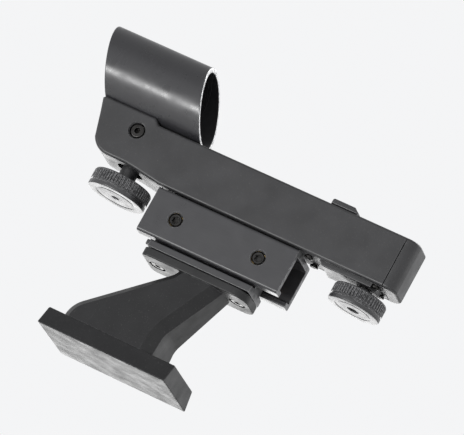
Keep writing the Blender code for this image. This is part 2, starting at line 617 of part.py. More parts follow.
def make_body_shell():
    """Upper housing: side walls, roof, nose and saddle, open below and behind."""
    half = BODY_WIDTH / 2
    shell = outline("body_shell", body_outline(), -half, half, "X", "black_plastic")
    shape = bmesh.new()
    shape.from_mesh(shell.data)
    rim = [e for e in shape.edges
           if abs(e.verts[0].co.x - e.verts[1].co.x) < 0.1 * MM
           and min(v.co.y for v in e.verts) > BODY_REAR - 1 * MM
           and abs(e.verts[0].co.x) > half - 0.1 * MM
           and len(e.link_faces) == 2 and e.calc_face_angle() > math.radians(60)
           and max(v.co.y for v in e.verts) > BODY_REAR + 1 * MM]
    bmesh.ops.bevel(shape, geom=rim, offset=0.7 * MM, segments=2, profile=0.5, affect="EDGES",
                    clamp_overlap=True)
    shape.to_mesh(shell.data)
    shape.free()
    cut(shell, outline("body_inside", inside_outline(), -HALF_INSIDE, HALF_INSIDE, "X"))
    for tag, (x, y) in COVER_SCREWS.items():
        join(shell, rod(f"cover_post_{tag}", (x, y, FLOOR_TOP + GAP), (x, y, ROOF_INSIDE + 0.5 * MM),
                        1.9 * MM))
    for tag, (x, y) in COVER_SCREWS.items():
        cut(shell, rod(f"cover_thread_{tag}", (x, y, FLOOR_TOP - 1 * MM), (x, y, 66 * MM), COVER_THREAD))
    cut(shell,
        rod("tube_cradle", BORE_START, BORE_END, TUBE_RADIUS + GAP, sides=TUBE_SIDES),
        upright("azimuth_neck_way", AZIMUTH_Y, BODY_BOTTOM - 3 * MM, BODY_BOTTOM + 4 * MM, 4.6 * MM,
                sides=32),
        rod("pivot_way", (-10 * MM, PIVOT_Y, PIVOT_Z), (10 * MM, PIVOT_Y, PIVOT_Z), 2.6 * MM),
        rod("door_way", (HALF_INSIDE - 1 * MM, CELL_Y, CELL_Z), (10 * MM, CELL_Y, CELL_Z), DOOR_RADIUS + GAP,
            sides=32),
        rod("knob_way", (HALF_INSIDE - 1 * MM, KNOB_Y, KNOB_Z), (10 * MM, KNOB_Y, KNOB_Z), 1.8 * MM),
        box("led_way", (-2.2 * MM, HOOD_REAR + 1 * MM, ROOF_INSIDE - 1 * MM),
            (2.2 * MM, HOOD_FRONT - 0.6 * MM, BODY_TOP + 1 * MM)))
    for end, y in TUBE_SCREW_YS.items():
        cut(shell, upright(f"tube_screw_way_{end}", y, ROOF_INSIDE - 1 * MM, BODY_TOP + 2 * MM, TUBE_THREAD))


def make_rear_cap():
    """Rear end of the housing, rounded at its upright edges, with a tenon into the shell."""
    half = BODY_WIDTH / 2
    corner = 4 * MM
    front = BODY_REAR - GAP
    plan = [(half, front)]
    plan += arc((half - corner, CAP_REAR + corner), corner, 0, -90, 7)
    plan += arc((-half + corner, CAP_REAR + corner), corner, -90, -180, 7)
    plan += [(-half, front)]
    cap = outline("rear_cap", plan, BODY_BOTTOM, BODY_TOP, "Z", "black_plastic")
    join(cap, box("cap_tenon", (-5.8 * MM, front - 1 * MM, FLOOR_TOP + 0.6 * MM),
                  (5.8 * MM, BODY_REAR + 0.3 * MM, ROOF_INSIDE - GAP)))


def make_bottom_cover():
    """Floor plate let in between the side walls, with a window for the tongue and a wheel boss."""
    half = HALF_INSIDE - GAP
    cover = box("bottom_cover", (-half, BODY_REAR, BODY_BOTTOM), (half, 12.2 * MM, FLOOR_TOP),
                "black_plastic")
    boss = [(-65.6 * MM, BODY_BOTTOM + 0.4 * MM), (-65.0 * MM, BOSS_BOTTOM), (-46.5 * MM, BOSS_BOTTOM),
            (-44.5 * MM, BODY_BOTTOM + 0.4 * MM)]
    join(cover, outline("cover_boss", boss, -half, half, "X"))
    cut(cover,
        box("cover_well", (-half + 1.2 * MM, -63.65 * MM, BOSS_TOP),
            (half - 1.2 * MM, -46.5 * MM, FLOOR_TOP + 1 * MM)),
        box("cover_window", (-4.5 * MM, -37 * MM, BODY_BOTTOM - 1 * MM),
            (4.5 * MM, 9 * MM, FLOOR_TOP + 1 * MM)),
        upright("cover_journal", ALTITUDE_Y, BOSS_BOTTOM - 1 * MM, BOSS_TOP + 1.5 * MM, 2.15 * MM))
    for tag, (x, y) in COVER_SCREWS.items():
        cut(cover,
            rod(f"cover_screw_way_{tag}", (x, y, BODY_BOTTOM - 3 * MM), (x, y, FLOOR_TOP + 1 * MM),
                COVER_THREAD),
            rod(f"cover_screw_seat_{tag}", (x, y, BODY_BOTTOM - 3 * MM), (x, y, BODY_BOTTOM), 1.75 * MM))


def make_cover_screws():
    """Small pan-head screws from below into the shell's posts."""
    for tag, (x, y) in COVER_SCREWS.items():
        place = at(x, y, BODY_BOTTOM - GAP) @ Matrix.Rotation(math.pi, 4, "X")
        screw_piece(f"cover_screw_{tag}", place, 1.4 * MM, 0.7 * MM, 0.8 * MM, 6 * MM, "black_steel",
                    socket=0.5 * MM)


# ---------------------------------------------------------------- sight tube

def slant_cut(shape, y, keep_rear):
    """Cut a shape along Y with the slanted plane through the tube's axis at y, and fill the cut."""
    normal = Vector((0, math.cos(TUBE_SLANT), -math.sin(TUBE_SLANT)))
    if not keep_rear:
        normal = -normal
    everything = shape.verts[:] + shape.edges[:] + shape.faces[:]
    result = bmesh.ops.bisect_plane(shape, geom=everything, plane_co=(0, y, TUBE_Z), plane_no=normal,
                                    clear_outer=True)
    rim = [item for item in result["geom_cut"] if isinstance(item, bmesh.types.BMEdge)]
    bmesh.ops.contextual_create(shape, geom=rim)


def make_sight_tube():
    """Tube cut at the same slant at both ends."""
    tube = rod("sight_tube", BORE_START, BORE_END, TUBE_RADIUS, "black_anodised", sides=TUBE_SIDES)
    shape = bmesh.new()
    shape.from_mesh(tube.data)
    slant_cut(shape, TUBE_FRONT, keep_rear=True)
    slant_cut(shape, TUBE_REAR, keep_rear=False)
    bmesh.ops.recalc_face_normals(shape, faces=shape.faces)
    shape.to_mesh(tube.data)
    shape.free()
    cut(tube, rod("tube_bore", BORE_START, BORE_END, TUBE_RADIUS - TUBE_WALL, sides=TUBE_SIDES))
    for end, y in TUBE_SCREW_YS.items():
        cut(tube, upright(f"tube_thread_{end}", y, BODY_TOP - 2 * MM, BODY_TOP + 3 * MM, TUBE_THREAD))


def lens_place():
    """Centre of the lens, its axis tipped down towards the eye so that it throws the dot level."""
    return at(0, LENS_Y, TUBE_Z) @ Matrix.Rotation(math.pi / 2 + LENS_TILT, 4, "X")


def make_lens():
    """Thin meniscus, hollow towards the eye, with its ring."""
    radius, curve_radius, half_thick = 10.2 * MM, 150 * MM, 0.8 * MM

    def sag(r):
        return curve_radius - math.sqrt(curve_radius ** 2 - r ** 2)

    radii = [radius * i / 3 for i in range(4)]
    top = [(r, half_thick + sag(r)) for r in radii]
    bottom = [(r, -half_thick + sag(r)) for r in reversed(radii)]
    turned("lens", top + bottom, lens_place(), "coated_glass", steps=28)
    outer, lip, groove = 11.05 * MM, 9.6 * MM, 10.5 * MM
    ring = [(lip, 2.2 * MM), (outer, 2.2 * MM), (outer, -2 * MM), (lip, -2 * MM), (lip, -1.2 * MM),
            (groove, -1.2 * MM), (groove, 1.6 * MM), (lip, 1.6 * MM)]
    turned("lens_cell", ring, lens_place(), "black_anodised", steps=28)


def make_tube_screws():
    """Screws from inside the housing up into the wall of the tube."""
    for end, y in TUBE_SCREW_YS.items():
        place = at(0, y, ROOF_INSIDE - GAP) @ Matrix.Rotation(math.pi, 4, "X")
        screw_piece(f"tube_screw_{end}", place, 1.8 * MM, 0.8 * MM, 1.0 * MM, 2.6 * MM, "black_steel")


# ---------------------------------------------------------------- light, switch and battery

def make_led_hood():
    """Low cover over the lamp, open towards the lens through a small window."""
    half = 6.2 * MM
    base = BODY_TOP + GAP
    top = 77.6 * MM
    side = [(HOOD_REAR, base), (HOOD_FRONT, base), (HOOD_FRONT, top - 0.7 * MM), (HOOD_FRONT - 0.7 * MM, top),
            (HOOD_REAR + 1.5 * MM, top), (HOOD_REAR, base + 0.8 * MM)]
    hood = outline("led_hood", side, -half, half, "X", "black_plastic")
    cut(hood,
        box("hood_inside", (-2.2 * MM, HOOD_REAR + 1.2 * MM, base - 1 * MM),
            (2.2 * MM, HOOD_FRONT - 0.7 * MM, top - 0.5 * MM)),
        box("hood_window", (-1.3 * MM, HOOD_FRONT - 2 * MM, base - 1 * MM),
            (1.3 * MM, HOOD_FRONT + 1 * MM, top - 0.9 * MM)))


def make_led():
    """Small domed lamp lying along the housing, with two leads down to the circuit board."""
    z = BODY_TOP + 0.1 * MM
    radius = 1.3 * MM
    tip = HOOD_FRONT - 1.9 * MM
    dome = [(0, radius)] + arc((0, 0), radius, 60, 30, 1)
    rim = radius * 1.15
    profile = dome + [(radius, 0), (radius, -2.2 * MM), (rim, -2.2 * MM), (rim, -2.8 * MM), (0, -2.8 * MM)]
    place = at(0, tip - radius, z) @ Matrix.Rotation(-math.pi / 2, 4, "X")
    led = turned("led", profile, place, "red_lens", steps=20)
    rear = tip - radius - 2.8 * MM
    for side in (-1, 1):
        x = side * 0.8 * MM
        join(led, box(f"led_lead_{side}", (x - 0.2 * MM, rear - 1 * MM, 69.5 * MM),
                      (x + 0.2 * MM, rear - 0.6 * MM, z + 0.2 * MM)),
             box(f"led_leg_{side}", (x - 0.2 * MM, rear - 0.9 * MM, z - 0.2 * MM),
                 (x + 0.2 * MM, rear + 0.5 * MM, z + 0.2 * MM)))
    mask = box("pinhole_mask", (-1.9 * MM, tip + 0.35 * MM, ROOF_INSIDE + 0.4 * MM),
               (1.9 * MM, tip + 0.75 * MM, 76.8 * MM), "black_steel")
    cut(mask, rod("pinhole", (0, tip, z + 0.6 * MM), (0, tip + 2 * MM, z + 0.6 * MM), 0.3 * MM, sides=12))


def make_circuit_board():
    """Upright board along the housing that carries the lamp, the switch and the contacts."""
    box("circuit_board", (-0.5 * MM, -49.5 * MM, 67.2 * MM), (0.5 * MM, -17 * MM, 73.3 * MM), "circuit_green")
    box("brightness_switch", (0.8 * MM, KNOB_Y - 4.5 * MM, 67.4 * MM),
        (5.0 * MM, KNOB_Y + 4.5 * MM, 73.4 * MM), "black_plastic", bevel=0.3 * MM)


def make_brightness_knob():
    """Knurled knob on the right-hand side, on the switch's shaft."""
    place = along_x(BODY_WIDTH / 2 + 0.35 * MM, KNOB_Y, KNOB_Z)
    radius, height = 6.2 * MM, 4.2 * MM
    profile = [(0, height), (radius - 1.2 * MM, height), (radius - 0.4 * MM, height - 0.6 * MM),
               (radius, 0.5 * MM), (radius - 0.5 * MM, 0), (0, 0)]
    knob = turned("brightness_knob", profile, place, "black_plastic", steps=24)
    flutes = bmesh.new()
    count = 12
    for index in range(count):
        angle = 2 * math.pi * index / count
        spot = Matrix.Rotation(angle, 4, "Z") @ at(radius + 0.35 * MM, 0, height / 2 + 0.8 * MM)
        bmesh.ops.create_cone(flutes, cap_ends=True, segments=6, radius1=0.7 * MM, radius2=0.7 * MM,
                              depth=height, matrix=spot)
    cut(knob, from_bmesh("knob_flutes", flutes, None, place))
    start = BODY_WIDTH / 2
    cut(knob,
        rod("knob_bore", (start, KNOB_Y, KNOB_Z), (start + 3 * MM, KNOB_Y, KNOB_Z), 1.8 * MM),
        box("knob_mark", (start + 4.1 * MM, KNOB_Y - 0.35 * MM, KNOB_Z + 1.5 * MM),
            (start + 5 * MM, KNOB_Y + 0.35 * MM, KNOB_Z + 4.4 * MM)))
    rod("switch_shaft", (5.3 * MM, KNOB_Y, KNOB_Z), (start + 2.7 * MM, KNOB_Y, KNOB_Z), 1.5 * MM,
        "bright_steel")


def make_battery_door():
    """Round door in the right-hand wall with a cup that carries the coin cell, and a coin slot."""
    wall_out = BODY_WIDTH / 2
    place = along_x(0, CELL_Y, CELL_Z)
    depth = 2.4 * MM
    disc, face = wall_out - 1.5 * MM, wall_out + 0.2 * MM
    cup = CELL_RADIUS + GAP
    profile = [(0, face), (DOOR_RADIUS - 0.5 * MM, face), (DOOR_RADIUS, face - 0.4 * MM),
               (DOOR_RADIUS, disc - depth), (cup, disc - depth), (cup, disc), (0, disc)]
    door = turned("battery_door", profile, place, "black_plastic", steps=32)
    cut(door,
        box("coin_slot", (face - 0.8 * MM, CELL_Y - 4 * MM, CELL_Z - 0.7 * MM),
            (face + 1 * MM, CELL_Y + 4 * MM, CELL_Z + 0.7 * MM)),
        box("contact_notch", (disc - depth - 1 * MM, CELL_Y + 4 * MM, CELL_Z + 0.4 * MM),
            (disc - 0.1 * MM, CELL_Y + 9 * MM, CELL_Z + 3.1 * MM)))
    thick = 2.0 * MM
    inner = disc - GAP - thick
    cell = [(0, thick), (CELL_RADIUS, thick), (CELL_RADIUS, 0.5 * MM), (CELL_RADIUS - 1 * MM, 0.4 * MM),
            (CELL_RADIUS - 1 * MM, 0), (0, 0)]
    turned("coin_cell", cell, along_x(inner, CELL_Y, CELL_Z), "bright_steel", steps=28)


def make_cell_contacts():
    """Two spring strips from the board: one to the cell's face and one to its rim."""
    face = [(0.8, -41.5), (1.1, -41.5), (1.1, -44.2), (2.3, -46.4), (3.2, -50.4), (3.2, -52.9), (2.8, -54.6),
            (2.5, -54.5), (2.9, -52.9), (2.9, -50.5), (2.05, -46.5), (0.8, -44.1)]
    outline("face_contact", [(x * MM, y * MM) for x, y in face], CELL_Z + 3.0 * MM, CELL_Z + 5.0 * MM,
            "Z", "brass")
    rim_y = CELL_Y + CELL_RADIUS + GAP
    box("rim_contact", (0.8 * MM, rim_y, CELL_Z + 0.9 * MM), (5.2 * MM, rim_y + 0.3 * MM, CELL_Z + 2.6 * MM),
        "brass")


make_stalk_bracket()
make_rail()
make_rail_screws()
make_clamp_channel()
make_clamp_screws()
make_gib_strip()
make_base_tongue()
make_tongue_screws()
make_swivel_stud()
make_yoke_bar()
make_altitude_nut()
make_pivot_screws()
make_azimuth_wheel()
make_altitude_wheel()
make_altitude_spring()
make_body_shell()
make_rear_cap()
make_bottom_cover()
make_cover_screws()
make_sight_tube()
make_lens()
make_tube_screws()
make_led_hood()
make_led()
make_circuit_board()
make_brightness_knob()
make_battery_door()
make_cell_contacts()
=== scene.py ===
"""Looks of the red-dot finder scope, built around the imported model.

Every piece is modelled in millimetres in the frame's own axes: +Y to the sky, +X to the user's
right, +Z up out of the finder shoe, with the origin under the middle of the dovetail foot.
"""

from __future__ import annotations

import json
import logging
import math
from collections.abc import Callable, Iterable, Sequence
from dataclasses import dataclass, field
from enum import Enum

import bmesh
import bpy
from mathutils import Matrix, Quaternion, Vector

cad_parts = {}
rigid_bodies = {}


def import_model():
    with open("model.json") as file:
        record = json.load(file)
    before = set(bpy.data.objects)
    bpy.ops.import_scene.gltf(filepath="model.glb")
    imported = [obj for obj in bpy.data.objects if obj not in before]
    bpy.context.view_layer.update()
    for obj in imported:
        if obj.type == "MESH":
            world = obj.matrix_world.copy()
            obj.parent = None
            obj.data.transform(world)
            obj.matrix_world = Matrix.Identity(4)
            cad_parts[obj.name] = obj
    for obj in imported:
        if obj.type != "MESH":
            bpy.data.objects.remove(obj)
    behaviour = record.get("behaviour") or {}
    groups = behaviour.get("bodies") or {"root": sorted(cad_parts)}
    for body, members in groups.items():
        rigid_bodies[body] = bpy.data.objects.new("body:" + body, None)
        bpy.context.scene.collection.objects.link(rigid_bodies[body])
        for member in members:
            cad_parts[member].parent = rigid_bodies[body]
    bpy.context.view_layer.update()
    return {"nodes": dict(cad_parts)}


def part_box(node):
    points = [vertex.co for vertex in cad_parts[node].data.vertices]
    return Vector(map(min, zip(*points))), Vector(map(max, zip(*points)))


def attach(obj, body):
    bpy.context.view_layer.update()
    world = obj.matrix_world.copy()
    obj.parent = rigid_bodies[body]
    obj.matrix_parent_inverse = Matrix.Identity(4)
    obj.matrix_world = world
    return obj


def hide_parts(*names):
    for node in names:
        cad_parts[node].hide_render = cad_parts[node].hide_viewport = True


for leftover in list(bpy.data.objects):
    bpy.data.objects.remove(leftover, do_unlink=True)

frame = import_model()

LOG = logging.getLogger("finder_scope")
MM = 0.001
MERGE = 0.002
SMOOTH_ANGLE = math.radians(32)

Point = tuple[float, float]
Colour = tuple[float, float, float]
EdgeTest = Callable[[bmesh.types.BMEdge], bool]
FaceTest = Callable[[Vector, Vector], bool]


class Axis(Enum):
    """The axis that an outline is extruded along."""

    X = 0
    Y = 1
    Z = 2

    def point(self, u: float, v: float, along: float) -> Vector:
        """Give the point with outline coordinates u and v and a place along the axis."""
        parts = [u, v]
        parts.insert(self.value, along)
        return Vector(parts)


class Drive(Enum):
    """The recess in a screw's head."""

    HEX = "hex"
    CROSS = "cross"


class Join(Enum):
    """How a second shape acts on a piece."""

    AWAY = "DIFFERENCE"
    ONTO = "UNION"


# ------------------------------------------------------------------ shapes


@dataclass(frozen=True)
class Extent:
    """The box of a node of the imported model, in millimetres."""

    low: Vector
    high: Vector

    @classmethod
    def of(cls, node: str) -> Extent:
        """Read the box of one node.

        Args:
            node: Name of the node.

        Returns:
            Its lowest and highest corners in millimetres.
        """
        low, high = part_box(node)
        return cls(low / MM, high / MM)

    @property
    def centre(self) -> Vector:
        """Middle of the box."""
        return (self.low + self.high) / 2


def facing(place: Sequence[float], direction: Sequence[float]) -> Matrix:
    """Make a matrix that carries the origin to a place and +Z to a direction.

    Args:
        place: Where the origin goes.
        direction: Where +Z points.

    Returns:
        The matrix, in millimetres.
    """
    turn = Vector(direction).to_track_quat("Z", "Y").to_matrix().to_4x4()
    return Matrix.Translation(Vector(place)) @ turn


def arc(centre: Point, radius: float, start: float, end: float, steps: int) -> list[Point]:
    """Points on an arc.

    Args:
        centre: Middle of the arc.
        radius: Radius of the arc.
        start: First angle in degrees.
        end: Last angle in degrees.
        steps: Number of steps from the first angle to the last.

    Returns:
        The points in order.
    """
    angles = [math.radians(start + (end - start) * i / steps) for i in range(steps + 1)]
    return [(centre[0] + radius * math.cos(a), centre[1] + radius * math.sin(a)) for a in angles]


def mirrored(right: Sequence[Point]) -> list[Point]:
    """Close a right-hand outline with its mirror image about the first coordinate's zero."""
    return list(right) + [(-u, v) for u, v in reversed(right)]


def block(low: Sequence[float], high: Sequence[float]) -> bmesh.types.BMesh:
    """Make a box between two corners."""
    shape = bmesh.new()
    size = Vector(high) - Vector(low)
    place = Matrix.Translation((Vector(low) + Vector(high)) / 2) @ Matrix.Diagonal((*size, 1))
    bmesh.ops.create_cube(shape, size=1, matrix=place)
    return shape


def bar(start: Sequence[float], end: Sequence[float], radius: float, sides: int = 48,
        end_radius: float | None = None) -> bmesh.types.BMesh:
    """Make a round, six-sided or tapered bar.

    Args:
        start: Centre of the first end.
        end: Centre of the other end.
        radius: Radius at the start.
        sides: Number of flats.
        end_radius: Radius at the end, the same as the start's when left out.

    Returns:
        The closed shape.
    """
    shape = bmesh.new()
    along = Vector(end) - Vector(start)
    place = facing(Vector(start) + along / 2, along)
    bmesh.ops.create_cone(shape, cap_ends=True, segments=sides, radius1=radius,
                          radius2=radius if end_radius is None else end_radius,
                          depth=along.length, matrix=place)
    return shape


def extrusion(points: Sequence[Point], low: float, high: float, axis: Axis) -> bmesh.types.BMesh:
    """Give an outline thickness along an axis.

    Args:
        points: The outline in the two other coordinates.
        low: Where the shape starts on the axis.
        high: Where it ends.
        axis: The axis.

    Returns:
        The closed shape.
    """
    shape = bmesh.new()
    face = shape.faces.new([shape.verts.new(axis.point(u, v, low)) for u, v in points])
    grown = bmesh.ops.extrude_face_region(shape, geom=[face])["geom"]
    moved = [item for item in grown if isinstance(item, bmesh.types.BMVert)]
    bmesh.ops.translate(shape, vec=axis.point(0, 0, high - low), verts=moved)
    bmesh.ops.recalc_face_normals(shape, faces=shape.faces)
    return shape


def placed(shape: bmesh.types.BMesh, place: Matrix) -> bmesh.types.BMesh:
    """Move a shape by a placing matrix and give it back."""
    bmesh.ops.transform(shape, matrix=place, verts=shape.verts)
    return shape


def turning(profile: Sequence[Point], place: Matrix, steps: int = 96) -> bmesh.types.BMesh:
    """Spin a profile of (radius, height) points about +Z and put it in place.

    Args:
        profile: The points. Off the axis, the last is joined to the first.
        place: The placing matrix.
        steps: Number of steps round.

    Returns:
        The closed shape.
    """
    shape = bmesh.new()
    verts = [shape.verts.new((radius, 0, height)) for radius, height in profile]
    edges = [shape.edges.new(pair) for pair in zip(verts, verts[1:])]
    if profile[0][0] > 0:
        edges.append(shape.edges.new((verts[-1], verts[0])))
    bmesh.ops.spin(shape, geom=verts + edges, cent=(0, 0, 0), axis=(0, 0, 1), angle=2 * math.pi,
                   steps=steps, use_merge=True)
    bmesh.ops.remove_doubles(shape, verts=shape.verts, dist=MERGE)
    bmesh.ops.recalc_face_normals(shape, faces=shape.faces)
    return placed(shape, place)


def soften(shape: bmesh.types.BMesh, width: float, segments: int = 3,
           chosen: EdgeTest | None = None) -> bmesh.types.BMesh:
    """Round the sharp edges of a shape.

    Args:
        shape: The shape, changed in place.
        width: Width of the rounding.
        segments: Steps across it.
        chosen: Test that an edge must pass, or none for every sharp edge.

    Returns:
        The same shape.
    """
    sharp = [edge for edge in shape.edges
             if len(edge.link_faces) == 2 and edge.calc_face_angle() > SMOOTH_ANGLE
             and (chosen is None or chosen(edge))]
    bmesh.ops.bevel(shape, geom=sharp, offset=width, offset_type="OFFSET", segments=segments,
                    profile=0.5, affect="EDGES", clamp_overlap=True, material=-1)
    return shape


def level_at(axis: Axis, *values: float) -> EdgeTest:
    """Make a test for edges that lie wholly at one of some heights on an axis."""
    def test(edge: bmesh.types.BMEdge) -> bool:
        """Tell whether both ends are at one of the heights."""
        return any(all(abs(vert.co[axis.value] - value) < MERGE * 10 for vert in edge.verts)
                   for value in values)
    return test


def along(axis: Axis) -> EdgeTest:
    """Make a test for edges that run along an axis."""
    def test(edge: bmesh.types.BMEdge) -> bool:
        """Tell whether the edge is parallel to the axis."""
        step = edge.verts[1].co - edge.verts[0].co
        return abs(step[axis.value]) > 0.999 * step.length
    return test


def slice_off(shape: bmesh.types.BMesh, place: Vector, outwards: Vector) -> list[bmesh.types.BMEdge]:
    """Cut away what lies beyond a plane.

    Args:
        shape: The shape, left open at the cut.
        place: A point on the plane.
        outwards: The plane's normal, towards what goes.

    Returns:
        The edges round the cut.
    """
    everything = shape.verts[:] + shape.edges[:] + shape.faces[:]
    cut = bmesh.ops.bisect_plane(shape, geom=everything, plane_co=place, plane_no=outwards,
                                 clear_outer=True)["geom_cut"]
    return [item for item in cut if isinstance(item, bmesh.types.BMEdge)]


def drilled(start: Sequence[float], end: Sequence[float], radius: float, lead: float = 0.2,
            sides: int = 64) -> bmesh.types.BMesh:
    """Make a drill that leaves a hole with a small chamfer where it enters.

    Args:
        start: The middle of the hole's mouth, on the surface.
        end: The bottom of the hole.
        radius: Radius of the hole.
        lead: Size of the chamfer.
        sides: Steps round.

    Returns:
        The drill, for carve().
    """
    depth = (Vector(end) - Vector(start)).length
    profile = [(0, depth), (radius, depth), (radius, lead), (radius + lead, 0), (radius + lead, -1), (0, -1)]
    return turning(profile, facing(start, Vector(end) - Vector(start)), sides)


def as_object(name: str, shape: bmesh.types.BMesh) -> bpy.types.Object:
    """Turn a shape in millimetres into an object in metres."""
    bmesh.ops.scale(shape, vec=(MM, MM, MM), verts=shape.verts)
    mesh = bpy.data.meshes.new(name)
    shape.to_mesh(mesh)
    shape.free()
    piece = bpy.data.objects.new(name, mesh)
    bpy.context.scene.collection.objects.link(piece)
    return piece


def carve(piece: bpy.types.Object, tools: Iterable[bmesh.types.BMesh], how: Join = Join.AWAY) -> None:
    """Cut shapes out of a piece or weld them onto it.

    Args:
        piece: The piece, whose mesh is replaced.
        tools: The second shapes, in millimetres.
        how: Whether they are taken away or added.
    """
    cutters = [as_object(f"{piece.name}_tool", tool) for tool in tools]
    for cutter in cutters:
        step = piece.modifiers.new("carve", "BOOLEAN")
        step.operation = how.value
        step.solver = "EXACT"
        step.object = cutter
    evaluated = piece.evaluated_get(bpy.context.evaluated_depsgraph_get())
    before = piece.data
    carved = bpy.data.meshes.new_from_object(evaluated)
    piece.modifiers.clear()
    piece.data = carved
    bpy.data.meshes.remove(before)
    carved.name = piece.name
    for cutter in cutters:
        spent = cutter.data
        bpy.data.objects.remove(cutter, do_unlink=True)
        bpy.data.meshes.remove(spent)


def smooth(piece: bpy.types.Object) -> None:
    """Shade a piece smooth between its sharp edges, with the larger faces leading."""
    piece.data.shade_smooth()
    piece.data.set_sharp_from_angle(angle=SMOOTH_ANGLE)
    even = piece.modifiers.new("even_normals", "WEIGHTED_NORMAL")
    even.keep_sharp = True


def facing_way(direction: Sequence[float], least: float = 0.9) -> FaceTest:
    """Make a test for faces that look in a direction."""
    def test(_centre: Vector, normal: Vector) -> bool:
        """Tell whether the face looks that way."""
        return normal.dot(Vector(direction)) > least
    return test


@dataclass(frozen=True)
class Screw:
    """A machine screw, its head's underside at the placing origin and its head along +Z."""

    head_radius: float
    head_height: float
    shank_radius: float
    shank_length: float
    drive: Drive
    recess: float
    recess_depth: float

    def shape(self, place: Matrix) -> bmesh.types.BMesh:
        """Make the screw without its recess."""
        radius, height, soft = self.head_radius, self.head_height, self.head_height * 0.3
        profile = [(0, height)] + arc((radius - soft, height - soft), soft, 90, 0, 4)
        profile += [(radius, 0.1), (radius - 0.1, 0), (self.shank_radius, 0)]
        shank, end = self.shank_radius, -self.shank_length
        profile += [(shank, 0.3 + end), (shank - 0.3, end), (0, end)]
        return turning(profile, place, 48)

    def socket(self, place: Matrix) -> list[bmesh.types.BMesh]:
        """Make the tools that cut the recess."""
        size, top, floor = self.recess, self.head_height + 0.2, self.head_height - self.recess_depth
        if self.drive is Drive.HEX:
            tools = [bar((0, 0, floor), (0, 0, top), size, 6)]
        else:
            tools = [block((-size, -size / 4, floor), (size, size / 4, top)),
                     block((-size / 4, -size, floor), (size / 4, size, top))]
        return [placed(tool, place) for tool in tools]


# ------------------------------------------------------------------ finishes


